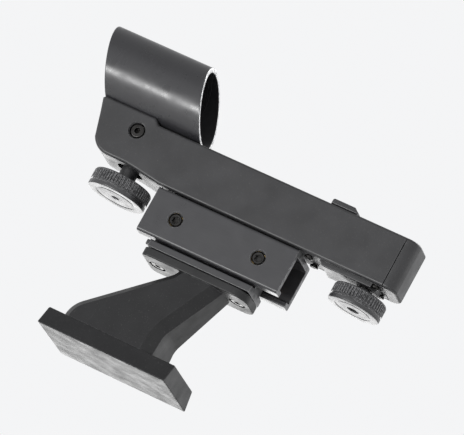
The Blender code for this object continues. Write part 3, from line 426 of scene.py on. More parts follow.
class Graph:
    """A material's node tree, with short calls for the nodes used here."""

    def __init__(self, name: str) -> None:
        """Start a material with a Principled shader.

        Args:
            name: Name of the material.
        """
        self.material = bpy.data.materials.new(name)
        self.material.use_nodes = True
        self.tree = self.material.node_tree
        self.shader = self.tree.nodes["Principled BSDF"]
        self.place = self.tree.nodes.new("ShaderNodeTexCoord").outputs["Object"]

    def put(self, socket: str, value: object) -> None:
        """Set or feed a socket of the shader."""
        self.feed(self.shader.inputs[socket], value)

    def feed(self, into: bpy.types.NodeSocket, value: object) -> None:
        """Link a socket, or set it to a plain value."""
        if isinstance(value, bpy.types.NodeSocket):
            self.tree.links.new(value, into)
        elif isinstance(value, tuple) and len(value) == 3 and into.type == "RGBA":
            into.default_value = (*value, 1)
        else:
            into.default_value = value

    def stretched(self, scale: Sequence[float], shift: Sequence[float] = (0, 0, 0)) -> bpy.types.NodeSocket:
        """Give the object's coordinates moved by a shift and stretched by a scale."""
        node = self.tree.nodes.new("ShaderNodeMapping")
        node.inputs["Location"].default_value = [s * k for s, k in zip(shift, scale)]
        node.inputs["Scale"].default_value = scale
        self.feed(node.inputs["Vector"], self.place)
        return node.outputs["Vector"]

    def noise(self, size: float, detail: float = 3,
              stretch: Sequence[float] = (1, 1, 1)) -> bpy.types.NodeSocket:
        """Give a noise whose features are about a size in millimetres.

        Args:
            size: Size of the features.
            detail: Octaves of detail.
            stretch: Scale of each axis, small along the grain.

        Returns:
            The noise's value.
        """
        node = self.tree.nodes.new("ShaderNodeTexNoise")
        node.inputs["Scale"].default_value = 1 / (size * MM)
        node.inputs["Detail"].default_value = detail
        self.feed(node.inputs["Vector"], self.stretched(stretch))
        return node.outputs["Fac"]

    def rings(self, pitch: float, centre: Sequence[float], direction: str = "Z") -> bpy.types.NodeSocket:
        """Give turned rings of a pitch about an axis through a centre, in millimetres."""
        node = self.tree.nodes.new("ShaderNodeTexWave")
        node.wave_type = "RINGS"
        node.rings_direction = direction
        node.inputs["Scale"].default_value = math.pi / (10 * pitch * MM)
        node.inputs["Distortion"].default_value = 0.6
        node.inputs["Detail"].default_value = 2
        self.feed(node.inputs["Vector"], self.stretched((1, 1, 1), [-c * MM for c in centre]))
        return node.outputs["Fac"]

    def span(self, value: object, low: float, high: float, to_low: float = 0.0,
             to_high: float = 1.0) -> bpy.types.NodeSocket:
        """Map a range of values onto another one, without going past its ends."""
        node = self.tree.nodes.new("ShaderNodeMapRange")
        for name, number in (("From Min", low), ("From Max", high), ("To Min", to_low), ("To Max", to_high)):
            node.inputs[name].default_value = number
        self.feed(node.inputs["Value"], value)
        return node.outputs["Result"]

    def reckon(self, operation: str, first: object, second: object) -> bpy.types.NodeSocket:
        """Combine two values with a Math node."""
        node = self.tree.nodes.new("ShaderNodeMath")
        node.operation = operation
        self.feed(node.inputs[0], first)
        self.feed(node.inputs[1], second)
        return node.outputs[0]

    def blend(self, share: object, first: object, second: object) -> bpy.types.NodeSocket:
        """Mix two colours."""
        node = self.tree.nodes.new("ShaderNodeMix")
        node.data_type = "RGBA"
        self.feed(node.inputs["Factor"], share)
        self.feed(node.inputs[6], first)
        self.feed(node.inputs[7], second)
        return node.outputs[2]

    def edges(self, radius: float, low: float, high: float) -> bpy.types.NodeSocket:
        """Give 1 on sharp edges and 0 on open faces, from how far a rounded normal turns away."""
        rounded = self.tree.nodes.new("ShaderNodeBevel")
        rounded.samples = 4
        rounded.inputs["Radius"].default_value = radius * MM
        surface = self.tree.nodes.new("ShaderNodeNewGeometry")
        compare = self.tree.nodes.new("ShaderNodeVectorMath")
        compare.operation = "DOT_PRODUCT"
        self.feed(compare.inputs[0], rounded.outputs["Normal"])
        self.feed(compare.inputs[1], surface.outputs["Normal"])
        return self.span(compare.outputs["Value"], 1 - low, 1 - high)

    def rubbed(self, radius: float, bend: tuple[float, float], size: float, detail: float,
               patch: tuple[float, float]) -> bpy.types.NodeSocket:
        """Give 1 where patches of a noise cross sharp edges.

        Args:
            radius: Reach of the wear from an edge, in millimetres.
            bend: Range of the normal's turn over which the wear sets in.
            size: Size of the patches in millimetres.
            detail: Octaves of detail.
            patch: Range of the noise over which a patch sets in.

        Returns:
            The amount of wear.
        """
        worn = self.edges(radius, *bend)
        patches = self.span(self.noise(size, detail), *patch)
        return self.reckon("MULTIPLY", worn, patches)

    def skyward(self, low: float, high: float) -> bpy.types.NodeSocket:
        """Give 1 on faces that look up along +Z, where dust settles."""
        surface = self.tree.nodes.new("ShaderNodeNewGeometry")
        split = self.tree.nodes.new("ShaderNodeSeparateXYZ")
        self.feed(split.inputs[0], surface.outputs["Normal"])
        return self.span(split.outputs["Z"], low, high)

    def relief(self, layers: Sequence[tuple[bpy.types.NodeSocket, float, float]]) -> None:
        """Stack bumps of (height, strength, depth in millimetres) and feed them to the shader."""
        below = None
        for height, strength, depth in layers:
            node = self.tree.nodes.new("ShaderNodeBump")
            node.inputs["Strength"].default_value = strength
            node.inputs["Distance"].default_value = depth * MM
            self.feed(node.inputs["Height"], height)
            if below is not None:
                self.feed(node.inputs["Normal"], below)
            below = node.outputs["Normal"]
        self.put("Normal", below)


@dataclass(frozen=True)
class Moulding:
    """Black moulded plastic: fine spark grain, faint flow clouds, polished edges and a little dust."""

    slot: str
    colour: Colour = (0.030, 0.030, 0.032)
    edge_colour: Colour = (0.075, 0.075, 0.078)
    roughness: float = 0.40
    grain: float = 0.16
    grain_strength: float = 0.35
    specular: float = 0.5
    dust: float = 0.06

    def material(self) -> bpy.types.Material:
        """Build the material."""
        graph = Graph(self.slot)
        clouds = graph.span(graph.noise(9, 3), 0.35, 0.7)
        deep = tuple(c * 0.72 for c in self.colour)
        shade = graph.blend(clouds, deep, self.colour)
        rub = graph.rubbed(0.5, (0.015, 0.16), 1.3, 4, (0.35, 0.6))
        shade = graph.blend(rub, shade, self.edge_colour)
        specks = graph.span(graph.noise(0.45, 5), 0.62, 0.72)
        film = graph.reckon("MULTIPLY", graph.skyward(0.4, 1.0), graph.span(graph.noise(5, 4), 0.3, 0.8, 0.2))
        dust = graph.reckon("MULTIPLY", graph.reckon("ADD", film, specks), self.dust)
        graph.put("Base Color", graph.blend(dust, shade, (0.42, 0.41, 0.39)))
        smudge = graph.span(graph.noise(6, 4), 0.3, 0.75, self.roughness - 0.07, self.roughness + 0.10)
        graph.put("Roughness", graph.reckon("SUBTRACT", smudge, graph.reckon("MULTIPLY", rub, 0.1)))
        graph.relief([(graph.noise(self.grain, 3), self.grain_strength, 0.012),
                      (graph.noise(2.4, 2), 0.12, 0.02)])
        graph.put("Specular IOR Level", self.specular)
        return graph.material


@dataclass(frozen=True)
class Anodising:
    """Black anodised aluminium: tool or extrusion lines, smudges, and bare metal where edges rub."""

    slot: str
    colour: Colour = (0.030, 0.030, 0.033)
    roughness: float = 0.33
    lines: tuple[float, float, float] = (1.0, 0.02, 1.0)
    pitch: float = 0.12
    line_strength: float = 0.18
    wear: float = 0.55

    def material(self) -> bpy.types.Material:
        """Build the material."""
        graph = Graph(self.slot)
        streaks = graph.noise(self.pitch, 2, self.lines)
        tint = graph.span(streaks, 0.3, 0.7)
        deep = tuple(c * 0.8 for c in self.colour)
        shade = graph.blend(tint, deep, self.colour)
        rub = graph.rubbed(0.35, (0.02, 0.2), 0.9, 5, (0.42, 0.62))
        rub = graph.reckon("MULTIPLY", rub, self.wear)
        graph.put("Base Color", graph.blend(rub, shade, (0.55, 0.55, 0.56)))
        graph.put("Metallic", graph.span(rub, 0.2, 0.9))
        smudge = graph.span(graph.noise(5, 4), 0.3, 0.75, self.roughness - 0.06, self.roughness + 0.10)
        graph.put("Roughness", smudge)
        graph.relief([(streaks, self.line_strength, 0.010), (graph.noise(0.07, 2), 0.12, 0.006)])
        graph.put("IOR", 1.6)
        return graph.material


@dataclass(frozen=True)
class TurnedFace:
    """A blackened lathe-turned face about an axis along Z, bright only where it rubs."""

    slot: str
    name: str
    centre: tuple[float, float, float]
    colour: Colour = (0.055, 0.055, 0.058)
    roughness: float = 0.22
    pitch: float = 0.16
    specular: float = 0.12

    def material(self) -> bpy.types.Material:
        """Build the material."""
        graph = Graph(self.name)
        rings = graph.rings(self.pitch, self.centre)
        shade = graph.blend(graph.span(rings, 0.2, 0.9), tuple(c * 0.8 for c in self.colour), self.colour)
        rub = graph.rubbed(0.35, (0.02, 0.2), 0.8, 4, (0.3, 0.6))
        graph.put("Base Color", graph.blend(rub, shade, (0.5, 0.5, 0.51)))
        graph.put("Metallic", graph.span(rub, 0.3, 1.0, 0.0, 0.95))
        graph.put("Specular IOR Level", self.specular)
        smudge = graph.span(graph.noise(4, 4), 0.3, 0.75, self.roughness - 0.05, self.roughness + 0.12)
        graph.put("Roughness", smudge)
        graph.relief([(rings, 0.2, 0.008)])
        return graph.material


@dataclass(frozen=True)
class PlainMetal:
    """Steel, brass or nickel: fine brushing, tarnish in the hollows of a cloud, bright edges."""

    slot: str
    colour: Colour
    tarnish: Colour
    roughness: float = 0.30
    brush: tuple[float, float, float] = (1.0, 0.05, 1.0)
    metallic: float = 1.0

    def material(self) -> bpy.types.Material:
        """Build the material."""
        graph = Graph(self.slot)
        brushed = graph.noise(0.06, 2, self.brush)
        cloud = graph.span(graph.noise(2.5, 5), 0.45, 0.75)
        shade = graph.blend(cloud, self.colour, self.tarnish)
        bright = tuple(min(1.0, c * 1.5 + 0.05) for c in self.colour)
        graph.put("Base Color", graph.blend(graph.edges(0.25, 0.03, 0.25), shade, bright))
        graph.put("Metallic", self.metallic)
        graph.put("Roughness", graph.span(brushed, 0.3, 0.7, self.roughness - 0.06, self.roughness + 0.12))
        graph.relief([(brushed, 0.2, 0.006)])
        return graph.material


@dataclass(frozen=True)
class BareEnd:
    """Sawn or worn aluminium on an end face, thinly coloured, with saw marks."""

    slot: str
    name: str
    colour: Colour = (0.20, 0.20, 0.205)
    roughness: float = 0.38
    marks: tuple[float, float, float] = (0.03, 1.0, 1.0)
    metallic: float = 0.6

    def material(self) -> bpy.types.Material:
        """Build the material."""
        graph = Graph(self.name)
        saw = graph.noise(0.14, 3, self.marks)
        worn = graph.span(graph.noise(1.6, 5), 0.4, 0.65)
        shade = graph.blend(worn, self.colour, tuple(c * 0.4 for c in self.colour))
        shade = graph.blend(graph.edges(0.3, 0.02, 0.2), shade, (0.5, 0.5, 0.51))
        graph.put("Base Color", shade)
        graph.put("Metallic", self.metallic)
        graph.put("Roughness", graph.span(saw, 0.3, 0.7, self.roughness - 0.08, self.roughness + 0.14))
        graph.relief([(saw, 0.35, 0.012)])
        return graph.material


@dataclass(frozen=True)
class FlatBlack:
    """Flocked or sprayed anti-glare black inside a tube."""

    slot: str
    name: str
    colour: Colour = (0.010, 0.010, 0.011)

    def material(self) -> bpy.types.Material:
        """Build the material."""
        graph = Graph(self.name)
        specks = graph.span(graph.noise(0.3, 5), 0.4, 0.7)
        graph.put("Base Color", graph.blend(specks, self.colour, tuple(c * 2.2 for c in self.colour)))
        graph.put("Roughness", graph.span(specks, 0.0, 1.0, 0.72, 0.9))
        graph.put("Specular IOR Level", 0.25)
        graph.relief([(graph.noise(0.12, 3), 0.4, 0.015)])
        return graph.material


@dataclass(frozen=True)
class CoatedGlass:
    """Thin lens with a coating that throws back red and lets the rest through."""

    slot: str

    def material(self) -> bpy.types.Material:
        """Build the material."""
        graph = Graph(self.slot)
        graph.put("Base Color", (0.80, 0.93, 0.97))
        graph.put("Transmission Weight", 1.0)
        graph.put("IOR", 1.52)
        graph.put("Specular IOR Level", 0.9)
        graph.put("Specular Tint", (1.0, 0.30, 0.22))
        dust = graph.span(graph.noise(0.25, 5), 0.68, 0.78, 0.015, 0.22)
        wipe = graph.span(graph.noise(3, 3, (1, 1, 0.3)), 0.4, 0.8, 0.0, 0.05)
        graph.put("Roughness", graph.reckon("ADD", dust, wipe))
        graph.relief([(graph.noise(1.5, 2), 0.02, 0.01)])
        return graph.material


@dataclass(frozen=True)
class ClearResin:
    """Red resin of the lamp, with bubbles and a scuffed skin."""

    slot: str

    def material(self) -> bpy.types.Material:
        """Build the material."""
        graph = Graph(self.slot)
        depth = graph.span(graph.noise(0.7, 3), 0.3, 0.7)
        graph.put("Base Color", graph.blend(depth, (0.55, 0.01, 0.01), (0.75, 0.05, 0.03)))
        graph.put("Transmission Weight", 0.55)
        graph.put("Roughness", graph.span(graph.noise(0.4, 4), 0.3, 0.8, 0.08, 0.3))
        graph.relief([(graph.noise(0.2, 2), 0.08, 0.01)])
        return graph.material


@dataclass(frozen=True)
class CircuitBoard:
    """Green solder resist over copper tracks."""

    slot: str

    def material(self) -> bpy.types.Material:
        """Build the material."""
        graph = Graph(self.slot)
        cells = graph.tree.nodes.new("ShaderNodeTexBrick")
        cells.inputs["Scale"].default_value = 220
        cells.inputs["Mortar Size"].default_value = 0.012
        graph.feed(cells.inputs["Vector"], graph.stretched((0, 1, 1)))
        tracks = cells.outputs["Fac"]
        graph.put("Base Color", graph.blend(tracks, (0.012, 0.10, 0.04), (0.05, 0.26, 0.11)))
        graph.put("Roughness", graph.span(graph.noise(1.2, 3), 0.3, 0.7, 0.28, 0.45))
        graph.relief([(tracks, 0.3, 0.03), (graph.noise(0.15, 2), 0.1, 0.01)])
        return graph.material


BRACKET = Moulding("bracket_black", colour=(0.016, 0.016, 0.017), roughness=0.42, grain=0.22, specular=0.35)
HOUSING = Moulding("housing_black")
KNOB = Moulding("knob_black", colour=(0.026, 0.026, 0.027), roughness=0.5, grain=0.12)
CLAMP = Anodising("anodised_black")
TUBE = Anodising("tube_black", colour=(0.027, 0.027, 0.030), lines=(0.03, 1.0, 0.03), pitch=0.2,
                 roughness=0.30)
WHEEL = Anodising("wheel_black", colour=(0.032, 0.032, 0.034), lines=(0.05, 0.05, 1.0), pitch=0.2, wear=0.8)
DARK_STEEL = PlainMetal("blackened_steel", (0.045, 0.044, 0.043), (0.022, 0.021, 0.020), 0.30)
STEEL = PlainMetal("bright_steel", (0.52, 0.52, 0.53), (0.34, 0.33, 0.31), 0.28)
NICKEL = PlainMetal("nickel", (0.66, 0.65, 0.62), (0.50, 0.48, 0.44), 0.22, brush=(1.0, 1.0, 1.0))
BRASS = PlainMetal("brass", (0.72, 0.53, 0.25), (0.38, 0.27, 0.13), 0.32)
GLASS = CoatedGlass("coated_glass")
LAMP = ClearResin("red_lamp")
BOARD = CircuitBoard("circuit_green")
SAWN_END = BareEnd("anodised_black", "sawn_end")
TUBE_RIM = BareEnd("tube_black", "tube_rim", colour=(0.58, 0.58, 0.585), marks=(1.0, 0.1, 1.0), metallic=0.9)
BORE = FlatBlack("tube_black", "tube_bore")

Finish = (Moulding | Anodising | TurnedFace | PlainMetal | BareEnd | FlatBlack | CoatedGlass | ClearResin
          | CircuitBoard)


def both_ways(finish: Finish, direction: Sequence[float],
              least: float = 0.9) -> list[tuple[Finish, FaceTest]]:
    """Give a finish to the faces that look along a direction and to those that look against it."""
    return [(finish, facing_way(Vector(direction) * sign, least)) for sign in (1, -1)]


class PaintShop:
    """Makes each finish's material once and hands it out."""

    def __init__(self) -> None:
        """Start with no material made."""
        self.stock: dict[Finish, bpy.types.Material] = {}

    def mix(self, finish: Finish) -> bpy.types.Material:
        """Give a finish's material."""
        if finish not in self.stock:
            self.stock[finish] = finish.material()
        return self.stock[finish]


SHOP = PaintShop()


# ------------------------------------------------------------------ sub-assemblies


@dataclass
class SubAssembly:
    """Pieces that are made and dressed together."""

    made: list[str] = field(default_factory=list, init=False)

    def add(self, name: str, body: str, finish: Finish, shape: bmesh.types.BMesh,
            stands_for: Sequence[str], cuts: Sequence[bmesh.types.BMesh] = (),
            welds: Sequence[bmesh.types.BMesh] = (),
            second: Sequence[tuple[Finish, FaceTest]] = ()) -> bpy.types.Object:
        """Finish a piece and hang it on its body.

        Args:
            name: Name of the piece.
            body: Body that it rides on.
            finish: Main finish.
            shape: Its shape in millimetres.
            stands_for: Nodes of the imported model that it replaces.
            cuts: Shapes taken away from it, after the welds.
            welds: Shapes added to it.
            second: Other finishes, each with a test for its faces.

        Returns:
            The piece.
        """
        piece = as_object(name, shape)
        if welds:
            carve(piece, welds, Join.ONTO)
        if cuts:
            carve(piece, cuts)
        mesh = piece.data
        mesh.materials.clear()
        for each in [finish] + [other for other, _test in second]:
            mesh.materials.append(SHOP.mix(each))
        for polygon in mesh.polygons:
            polygon.material_index = 0
            for index, (_other, test) in enumerate(second, 1):
                if test(polygon.center / MM, polygon.normal):
                    polygon.material_index = index
        smooth(piece)
        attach(piece, body)
        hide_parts(*stands_for)
        self.made.append(name)
        return piece

    def add_screw(self, node: str, body: str, screw: Screw, place: Matrix) -> None:
        """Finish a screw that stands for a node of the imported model."""
        self.add(f"{node}_head", body, DARK_STEEL, screw.shape(place), [node], cuts=screw.socket(place))

    def dress(self, finish: Finish, *nodes: str) -> None:
        """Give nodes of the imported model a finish."""
        for node in nodes:
            for slot in frame["nodes"][node].material_slots:
                slot.material = SHOP.mix(finish)
            self.made.append(node)

    def build(self) -> None:
        """Make every piece."""
        raise NotImplementedError

    def report(self) -> None:
        """Log the pieces."""
        LOG.info("%s: %s", type(self).__name__, ", ".join(self.made))


@dataclass
class StalkBracket(SubAssembly):
    """Dovetail foot, leaning stalk and head plate in one casting, and the rail's two screws."""

    foot_top_half: float = 13.0
    foot_height: float = 6.5
    plate_depth: float = 2.8
    plate_half: float = 8.5
    plate_rear_round: float = 4.5
    plate_front_round: float = 2.5
    flare: float = 0.16
    stalk_foot: tuple[float, float] = (-13.2, 18.0)
    toe_centre: Point = (9.0, 6.9)
    toe_radius: float = 9.0
    front_lean: float = 45.7
    neck_front: tuple[float, float] = (-5.7, -7.2)
    neck_rear: float = -23.0
    heel_centre: Point = (-23.15, 12.46)
    heel_radius: float = 10.0
    heel_angles: tuple[float, float] = (23.8, 4.0)
    plate_overlap: float = 1.6
    screw_way: float = 1.6
    counterbore: float = 2.9
    rear_chamfer: float = 3.5
    front_chamfer: float = 2.0
    screw_ways: tuple[float, float] = (-26.2, 2.8)

    def foot(self) -> bmesh.types.BMesh:
        """Make the dovetail foot with eased edges."""
        box = Extent.of("stalk_bracket")
        section = mirrored([(box.high.x, 0), (self.foot_top_half, self.foot_height)])
        shape = extrusion(section, -box.high.y, box.high.y, Axis.Y)
        return soften(shape, 0.45, 3)

    def stalk(self) -> bmesh.types.BMesh:
        """Make the stalk, wider towards the foot, with rounded upright corners."""
        top = Extent.of("stalk_bracket").high.z - self.plate_depth
        sunk = self.foot_height - 1
        rear, front = self.stalk_foot
        low_neck, high_neck = self.neck_front
        inside = top + self.plate_overlap
        points = [(rear, sunk), (front, sunk)] + arc(self.toe_centre, self.toe_radius, 0, self.front_lean, 14)
        points += [(low_neck, top - 1.5), (high_neck, inside), (self.neck_rear, inside)]
        points += arc(self.heel_centre, self.heel_radius, *self.heel_angles, 10)
        shape = extrusion(points, -20, 20, Axis.X)
        for side in (-1, 1):
            edge = Vector((side * (self.plate_half - 0.4), 0, top))
            rim = slice_off(shape, edge, Vector((side, 0, self.flare)))
            bmesh.ops.contextual_create(shape, geom=rim)
        bmesh.ops.recalc_face_normals(shape, faces=shape.faces)

        def upright(rear: bool) -> EdgeTest:
            """Make a test for the long corners at the rear or in front."""
            def test(edge: bmesh.types.BMEdge) -> bool:
                """Tell whether an edge is between a side and the rear or front."""
                ends = [face for face in edge.link_faces if abs(face.normal.x) < 0.8]
                heights = [vert.co.z for vert in edge.verts]
                return len(ends) == 1 and (ends[0].normal.y < 0) == rear \
                    and max(heights) > sunk + 0.1 and min(heights) < top
            return test
        soften(shape, self.rear_chamfer, 1, upright(True))
        soften(shape, self.front_chamfer, 1, upright(False))
        return soften(shape, 0.5, 3, lambda edge: not level_at(Axis.Z, sunk, inside)(edge))

    def head_plate(self) -> bmesh.types.BMesh:
        """Make the plate under the rail."""
        box = Extent.of("stalk_bracket")
        rail = Extent.of("rail")
        half, rear, front = self.plate_half, box.low.y, rail.high.y + 0.6
        behind, ahead = self.plate_rear_round, self.plate_front_round
        right = arc((half - behind, rear + behind), behind, -90, 0, 14)
        right += arc((half - ahead, front - ahead), ahead, 0, 90, 8)
        shape = extrusion(mirrored(right), box.high.z - self.plate_depth, box.high.z, Axis.Z)
        return soften(shape, 0.4, 3)

    def build(self) -> None:
        """Make the casting and the screws from below."""
        top = Extent.of("stalk_bracket").high.z
        seat = top - self.plate_depth + 2
        wells = []
        for y in self.screw_ways:
            wells.append(bar((0, y, seat - 6), (0, y, top + 1), self.screw_way))
            wells.append(bar((0, y, seat - 5), (0, y, seat), self.counterbore))
        self.add("bracket_casting", "bracket", BRACKET, self.foot(), ["stalk_bracket"],
                 welds=[self.stalk(), self.head_plate()], cuts=wells)
        screw = Screw(2.5, 1.6, 1.25, 5.5, Drive.HEX, 1.25, 1.1)
        for end, y in zip(("rear", "front"), self.screw_ways):
            self.add_screw(f"rail_screw_{end}", "bracket", screw, facing((0, y, seat - 0.3), (0, 0, -1)))


@dataclass
class RailClamp(SubAssembly):
    """Stepped rail, the channel that slides on it, its set screws and the tongue on top."""

    flange: float = 7.5
    neck: float = 3.9
    head: float = 5.6
    wall: float = 2.0
    lip: float = 4.6
    lip_depth: float = 1.8
    set_screw_radius: float = 2.05
    hole_radius: float = 2.35

    def rail(self) -> None:
        """Make the rail with eased edges and sawn ends."""
        box = Extent.of("rail")
        low, high = box.low, box.high
        right = [(self.flange, low.z), (self.flange, low.z + 2.4), (self.neck, low.z + 2.6),
                 (self.neck, low.z + 5.4), (self.head, low.z + 5.7), (self.head, high.z)]
        shape = extrusion(mirrored(right), low.y, high.y, Axis.Y)
        soften(shape, 0.35, 3, along(Axis.Y))
        soften(shape, 0.2, 2, level_at(Axis.Y, low.y, high.y))
        places = [Extent.of(f"rail_screw_{end}").centre.y for end in ("rear", "front")]
        ways = [bar((0, y, low.z - 1), (0, y, low.z + 4.8), 1.6) for y in places]
        self.add("clamp_rail", "bracket", CLAMP, shape, ["rail"], cuts=ways,
                 second=both_ways(SAWN_END, (0, -1, 0)))

    def channel(self) -> None:
        """Make the C-section channel with its set screw holes and top holes."""
        box = Extent.of("clamp_channel")
        low, high = box.low, box.high
        outer, inner = high.x, high.x - self.wall
        right = [(self.lip, low.z), (outer, low.z), (outer, high.z)]
        lip_top = low.z + self.lip_depth
        inside = [(-self.lip, lip_top), (-inner, lip_top), (-inner, high.z - self.wall)]
        shape = extrusion(mirrored(right) + mirrored(inside), low.y, high.y, Axis.Y)

        def outside(edge: bmesh.types.BMEdge) -> bool:
            """Tell whether a long edge is on the outer corners."""
            return along(Axis.Y)(edge) and abs(edge.verts[0].co.x) > inner + 0.5
        soften(shape, 0.9, 4, outside)
        soften(shape, 0.35, 3, along(Axis.Y))
        soften(shape, 0.22, 2, level_at(Axis.Y, low.y, high.y))
        cuts = []
        for end in ("front", "rear"):
            hole = Extent.of(f"clamp_screw_{end}").centre
            start, end_point = (-outer, hole.y, hole.z), (-inner + 0.5, hole.y, hole.z)
            cuts.append(drilled(start, end_point, self.hole_radius, 0.3))
        tops = [("tongue_screw_rear", 1.6), ("tongue_screw_front", 1.6), ("swivel_stud", 2.1)]
        for node, radius in tops:
            y = Extent.of(node).centre.y
            cuts.append(bar((0, y, high.z - 3), (0, y, high.z + 1), radius))
        self.add("channel_section", "clamp", CLAMP, shape, ["clamp_channel"], cuts=cuts,
                 second=both_ways(SAWN_END, (0, -1, 0)))

    def set_screws(self) -> None:
        """Make the two socket set screws."""
        radius = self.set_screw_radius
        for end in ("front", "rear"):
            node = f"clamp_screw_{end}"
            box = Extent.of(node)
            place = facing((box.high.x, box.centre.y, box.centre.z), (-1, 0, 0))
            length = box.high.x - box.low.x
            profile = [(0, length - 0.12), (0.9, length - 0.05), (1.5, length)]
            profile += [(radius - 0.3, length), (radius, length - 0.3)]
            profile += [(radius, 0.2), (radius - 0.2, 0), (0, 0)]
            socket = placed(bar((0, 0, 0.6), (0, 0, length + 1), 1.2, 6), place)
            mouth = bar((0, 0, length - 0.25), (0, 0, length + 0.1), 1.1, 48, end_radius=1.45)
            placed(mouth, place)
            shape = turning(profile, place, 64)
            self.add(f"set_screw_{end}", f"{end}_clamp_screw", DARK_STEEL, shape, [node],
                     cuts=[socket, mouth])

    def build(self) -> None:
        """Make the rail and the clamp."""
        self.rail()
        self.channel()
        self.set_screws()
        self.dress(BRASS, "gib_strip")
        self.dress(DARK_STEEL, "base_tongue", "tongue_screw_front", "tongue_screw_rear")
        self.dress(STEEL, "swivel_stud", "swivel_washer")


@dataclass
class Adjusters(SubAssembly):
    """Yoke and the two thumbwheels with their shafts."""

    knurl_depth: float = 0.42
    knurl_pitch: float = 1.05
    groove_depth: float = 0.5
    lip: float = 1.35
    azimuth_top: float = 55.5
    altitude_top: float = 54.4

    def wheel(self, name: str, node: str, body: str, top: float, hub_radius: float, recess: float,
              bore: float, slotted: bool) -> None:
        """Make a knurled wheel with a groove and a turned lower face.

        Args:
            name: Name of the piece.
            node: Node that it stands for.
            body: Body that it rides on.
            top: Height of the wheel's upper face.
            hub_radius: Radius of the hub on top.
            recess: Radius of the recess in the lower face.
            bore: Radius of the bore in the hub.
            slotted: Whether the recess shows a slotted shaft end.
        """
        box = Extent.of(node)
        radius, bottom, hub_top = (box.high.x - box.low.x) / 2, box.low.z, box.high.z
        knurl_low, knurl_high = bottom + self.lip + 0.9, top - 0.7
        shoulder = radius - 0.18
        profile = [(0, hub_top), (hub_radius - 0.2, hub_top), (hub_radius, hub_top - 0.2)]
        profile += arc((hub_radius + 0.5, top + 0.5), 0.5, 180, 270, 4)
        profile += [(radius - 1.1, top)] + arc((shoulder - 0.45, top - 0.45), 0.45, 75, 0, 4)
        profile += [(radius, knurl_high), (radius, knurl_low), (shoulder, knurl_low - 0.2)]
        root = radius - self.groove_depth
        profile += [(root, knurl_low - 0.32), (root, knurl_low - 0.72)]
        profile += [(radius - 0.08, knurl_low - 0.9)] + arc((radius - 0.5, bottom + 0.42), 0.42, 0, -90, 5)
        profile += [(radius * 0.72, bottom), (radius * 0.70, bottom + 0.12), (radius * 0.64, bottom + 0.12),
                    (radius * 0.62, bottom)]
        profile += [(recess + 0.25, bottom), (recess, bottom + 0.25)]
        profile += [(recess, bottom + 1.3), (0, bottom + 1.3)]
        teeth = round(2 * math.pi * radius / self.knurl_pitch)
        shape = turning(profile, Matrix.Identity(4), teeth * 4)
        for vert in shape.verts:
            turn = round(math.atan2(vert.co.y, vert.co.x) / (2 * math.pi) * teeth * 4) % 4
            if turn > 1 and vert.co.xy.length > radius - 0.05:
                vert.co.xy *= (radius - self.knurl_depth) / radius
        y = box.centre.y
        bmesh.ops.translate(shape, vec=(0, y, 0), verts=shape.verts)
        cuts = [bar((0, y, bottom + 2.0), (0, y, hub_top + 1), bore)]
        if slotted:
            reach = recess - 0.1
            cuts.append(block((-reach, y - 0.3, bottom + 1.0), (reach, y + 0.3, bottom + 1.75)))
        face = TurnedFace("wheel_black", f"{node}_face", (0, y, bottom))
        self.add(name, body, WHEEL, shape, [node], cuts=cuts, second=[(face, facing_way((0, 0, -1), 0.8))])

    def build(self) -> None:
        """Make the wheels and dress the yoke, shafts and clips."""
        self.wheel("azimuth_thumbwheel", "azimuth_wheel", "azimuth_adjuster", self.azimuth_top,
                   2.9, 1.2, 1.6, False)
        self.wheel("altitude_thumbwheel", "altitude_wheel", "altitude_adjuster", self.altitude_top,
                   3.2, 1.9, 2.1, True)
        self.dress(DARK_STEEL, "yoke_bar")
        self.dress(BRASS, "altitude_nut")
        self.dress(STEEL, "azimuth_shaft", "azimuth_clip")
        self.dress(STEEL, "altitude_screw", "altitude_clip", "altitude_spring")
        screw = Screw(2.25, 1.0, 1.3, 3.4, Drive.HEX, 1.15, 2.0)
        for side, tag in ((-1, "left"), (1, "right")):
            box = Extent.of(f"pivot_screw_{tag}")
            place = facing((side * 6.1, box.centre.y, box.centre.z), (side, 0, 0))
            self.add_screw(f"pivot_screw_{tag}", "yoke", screw, place)


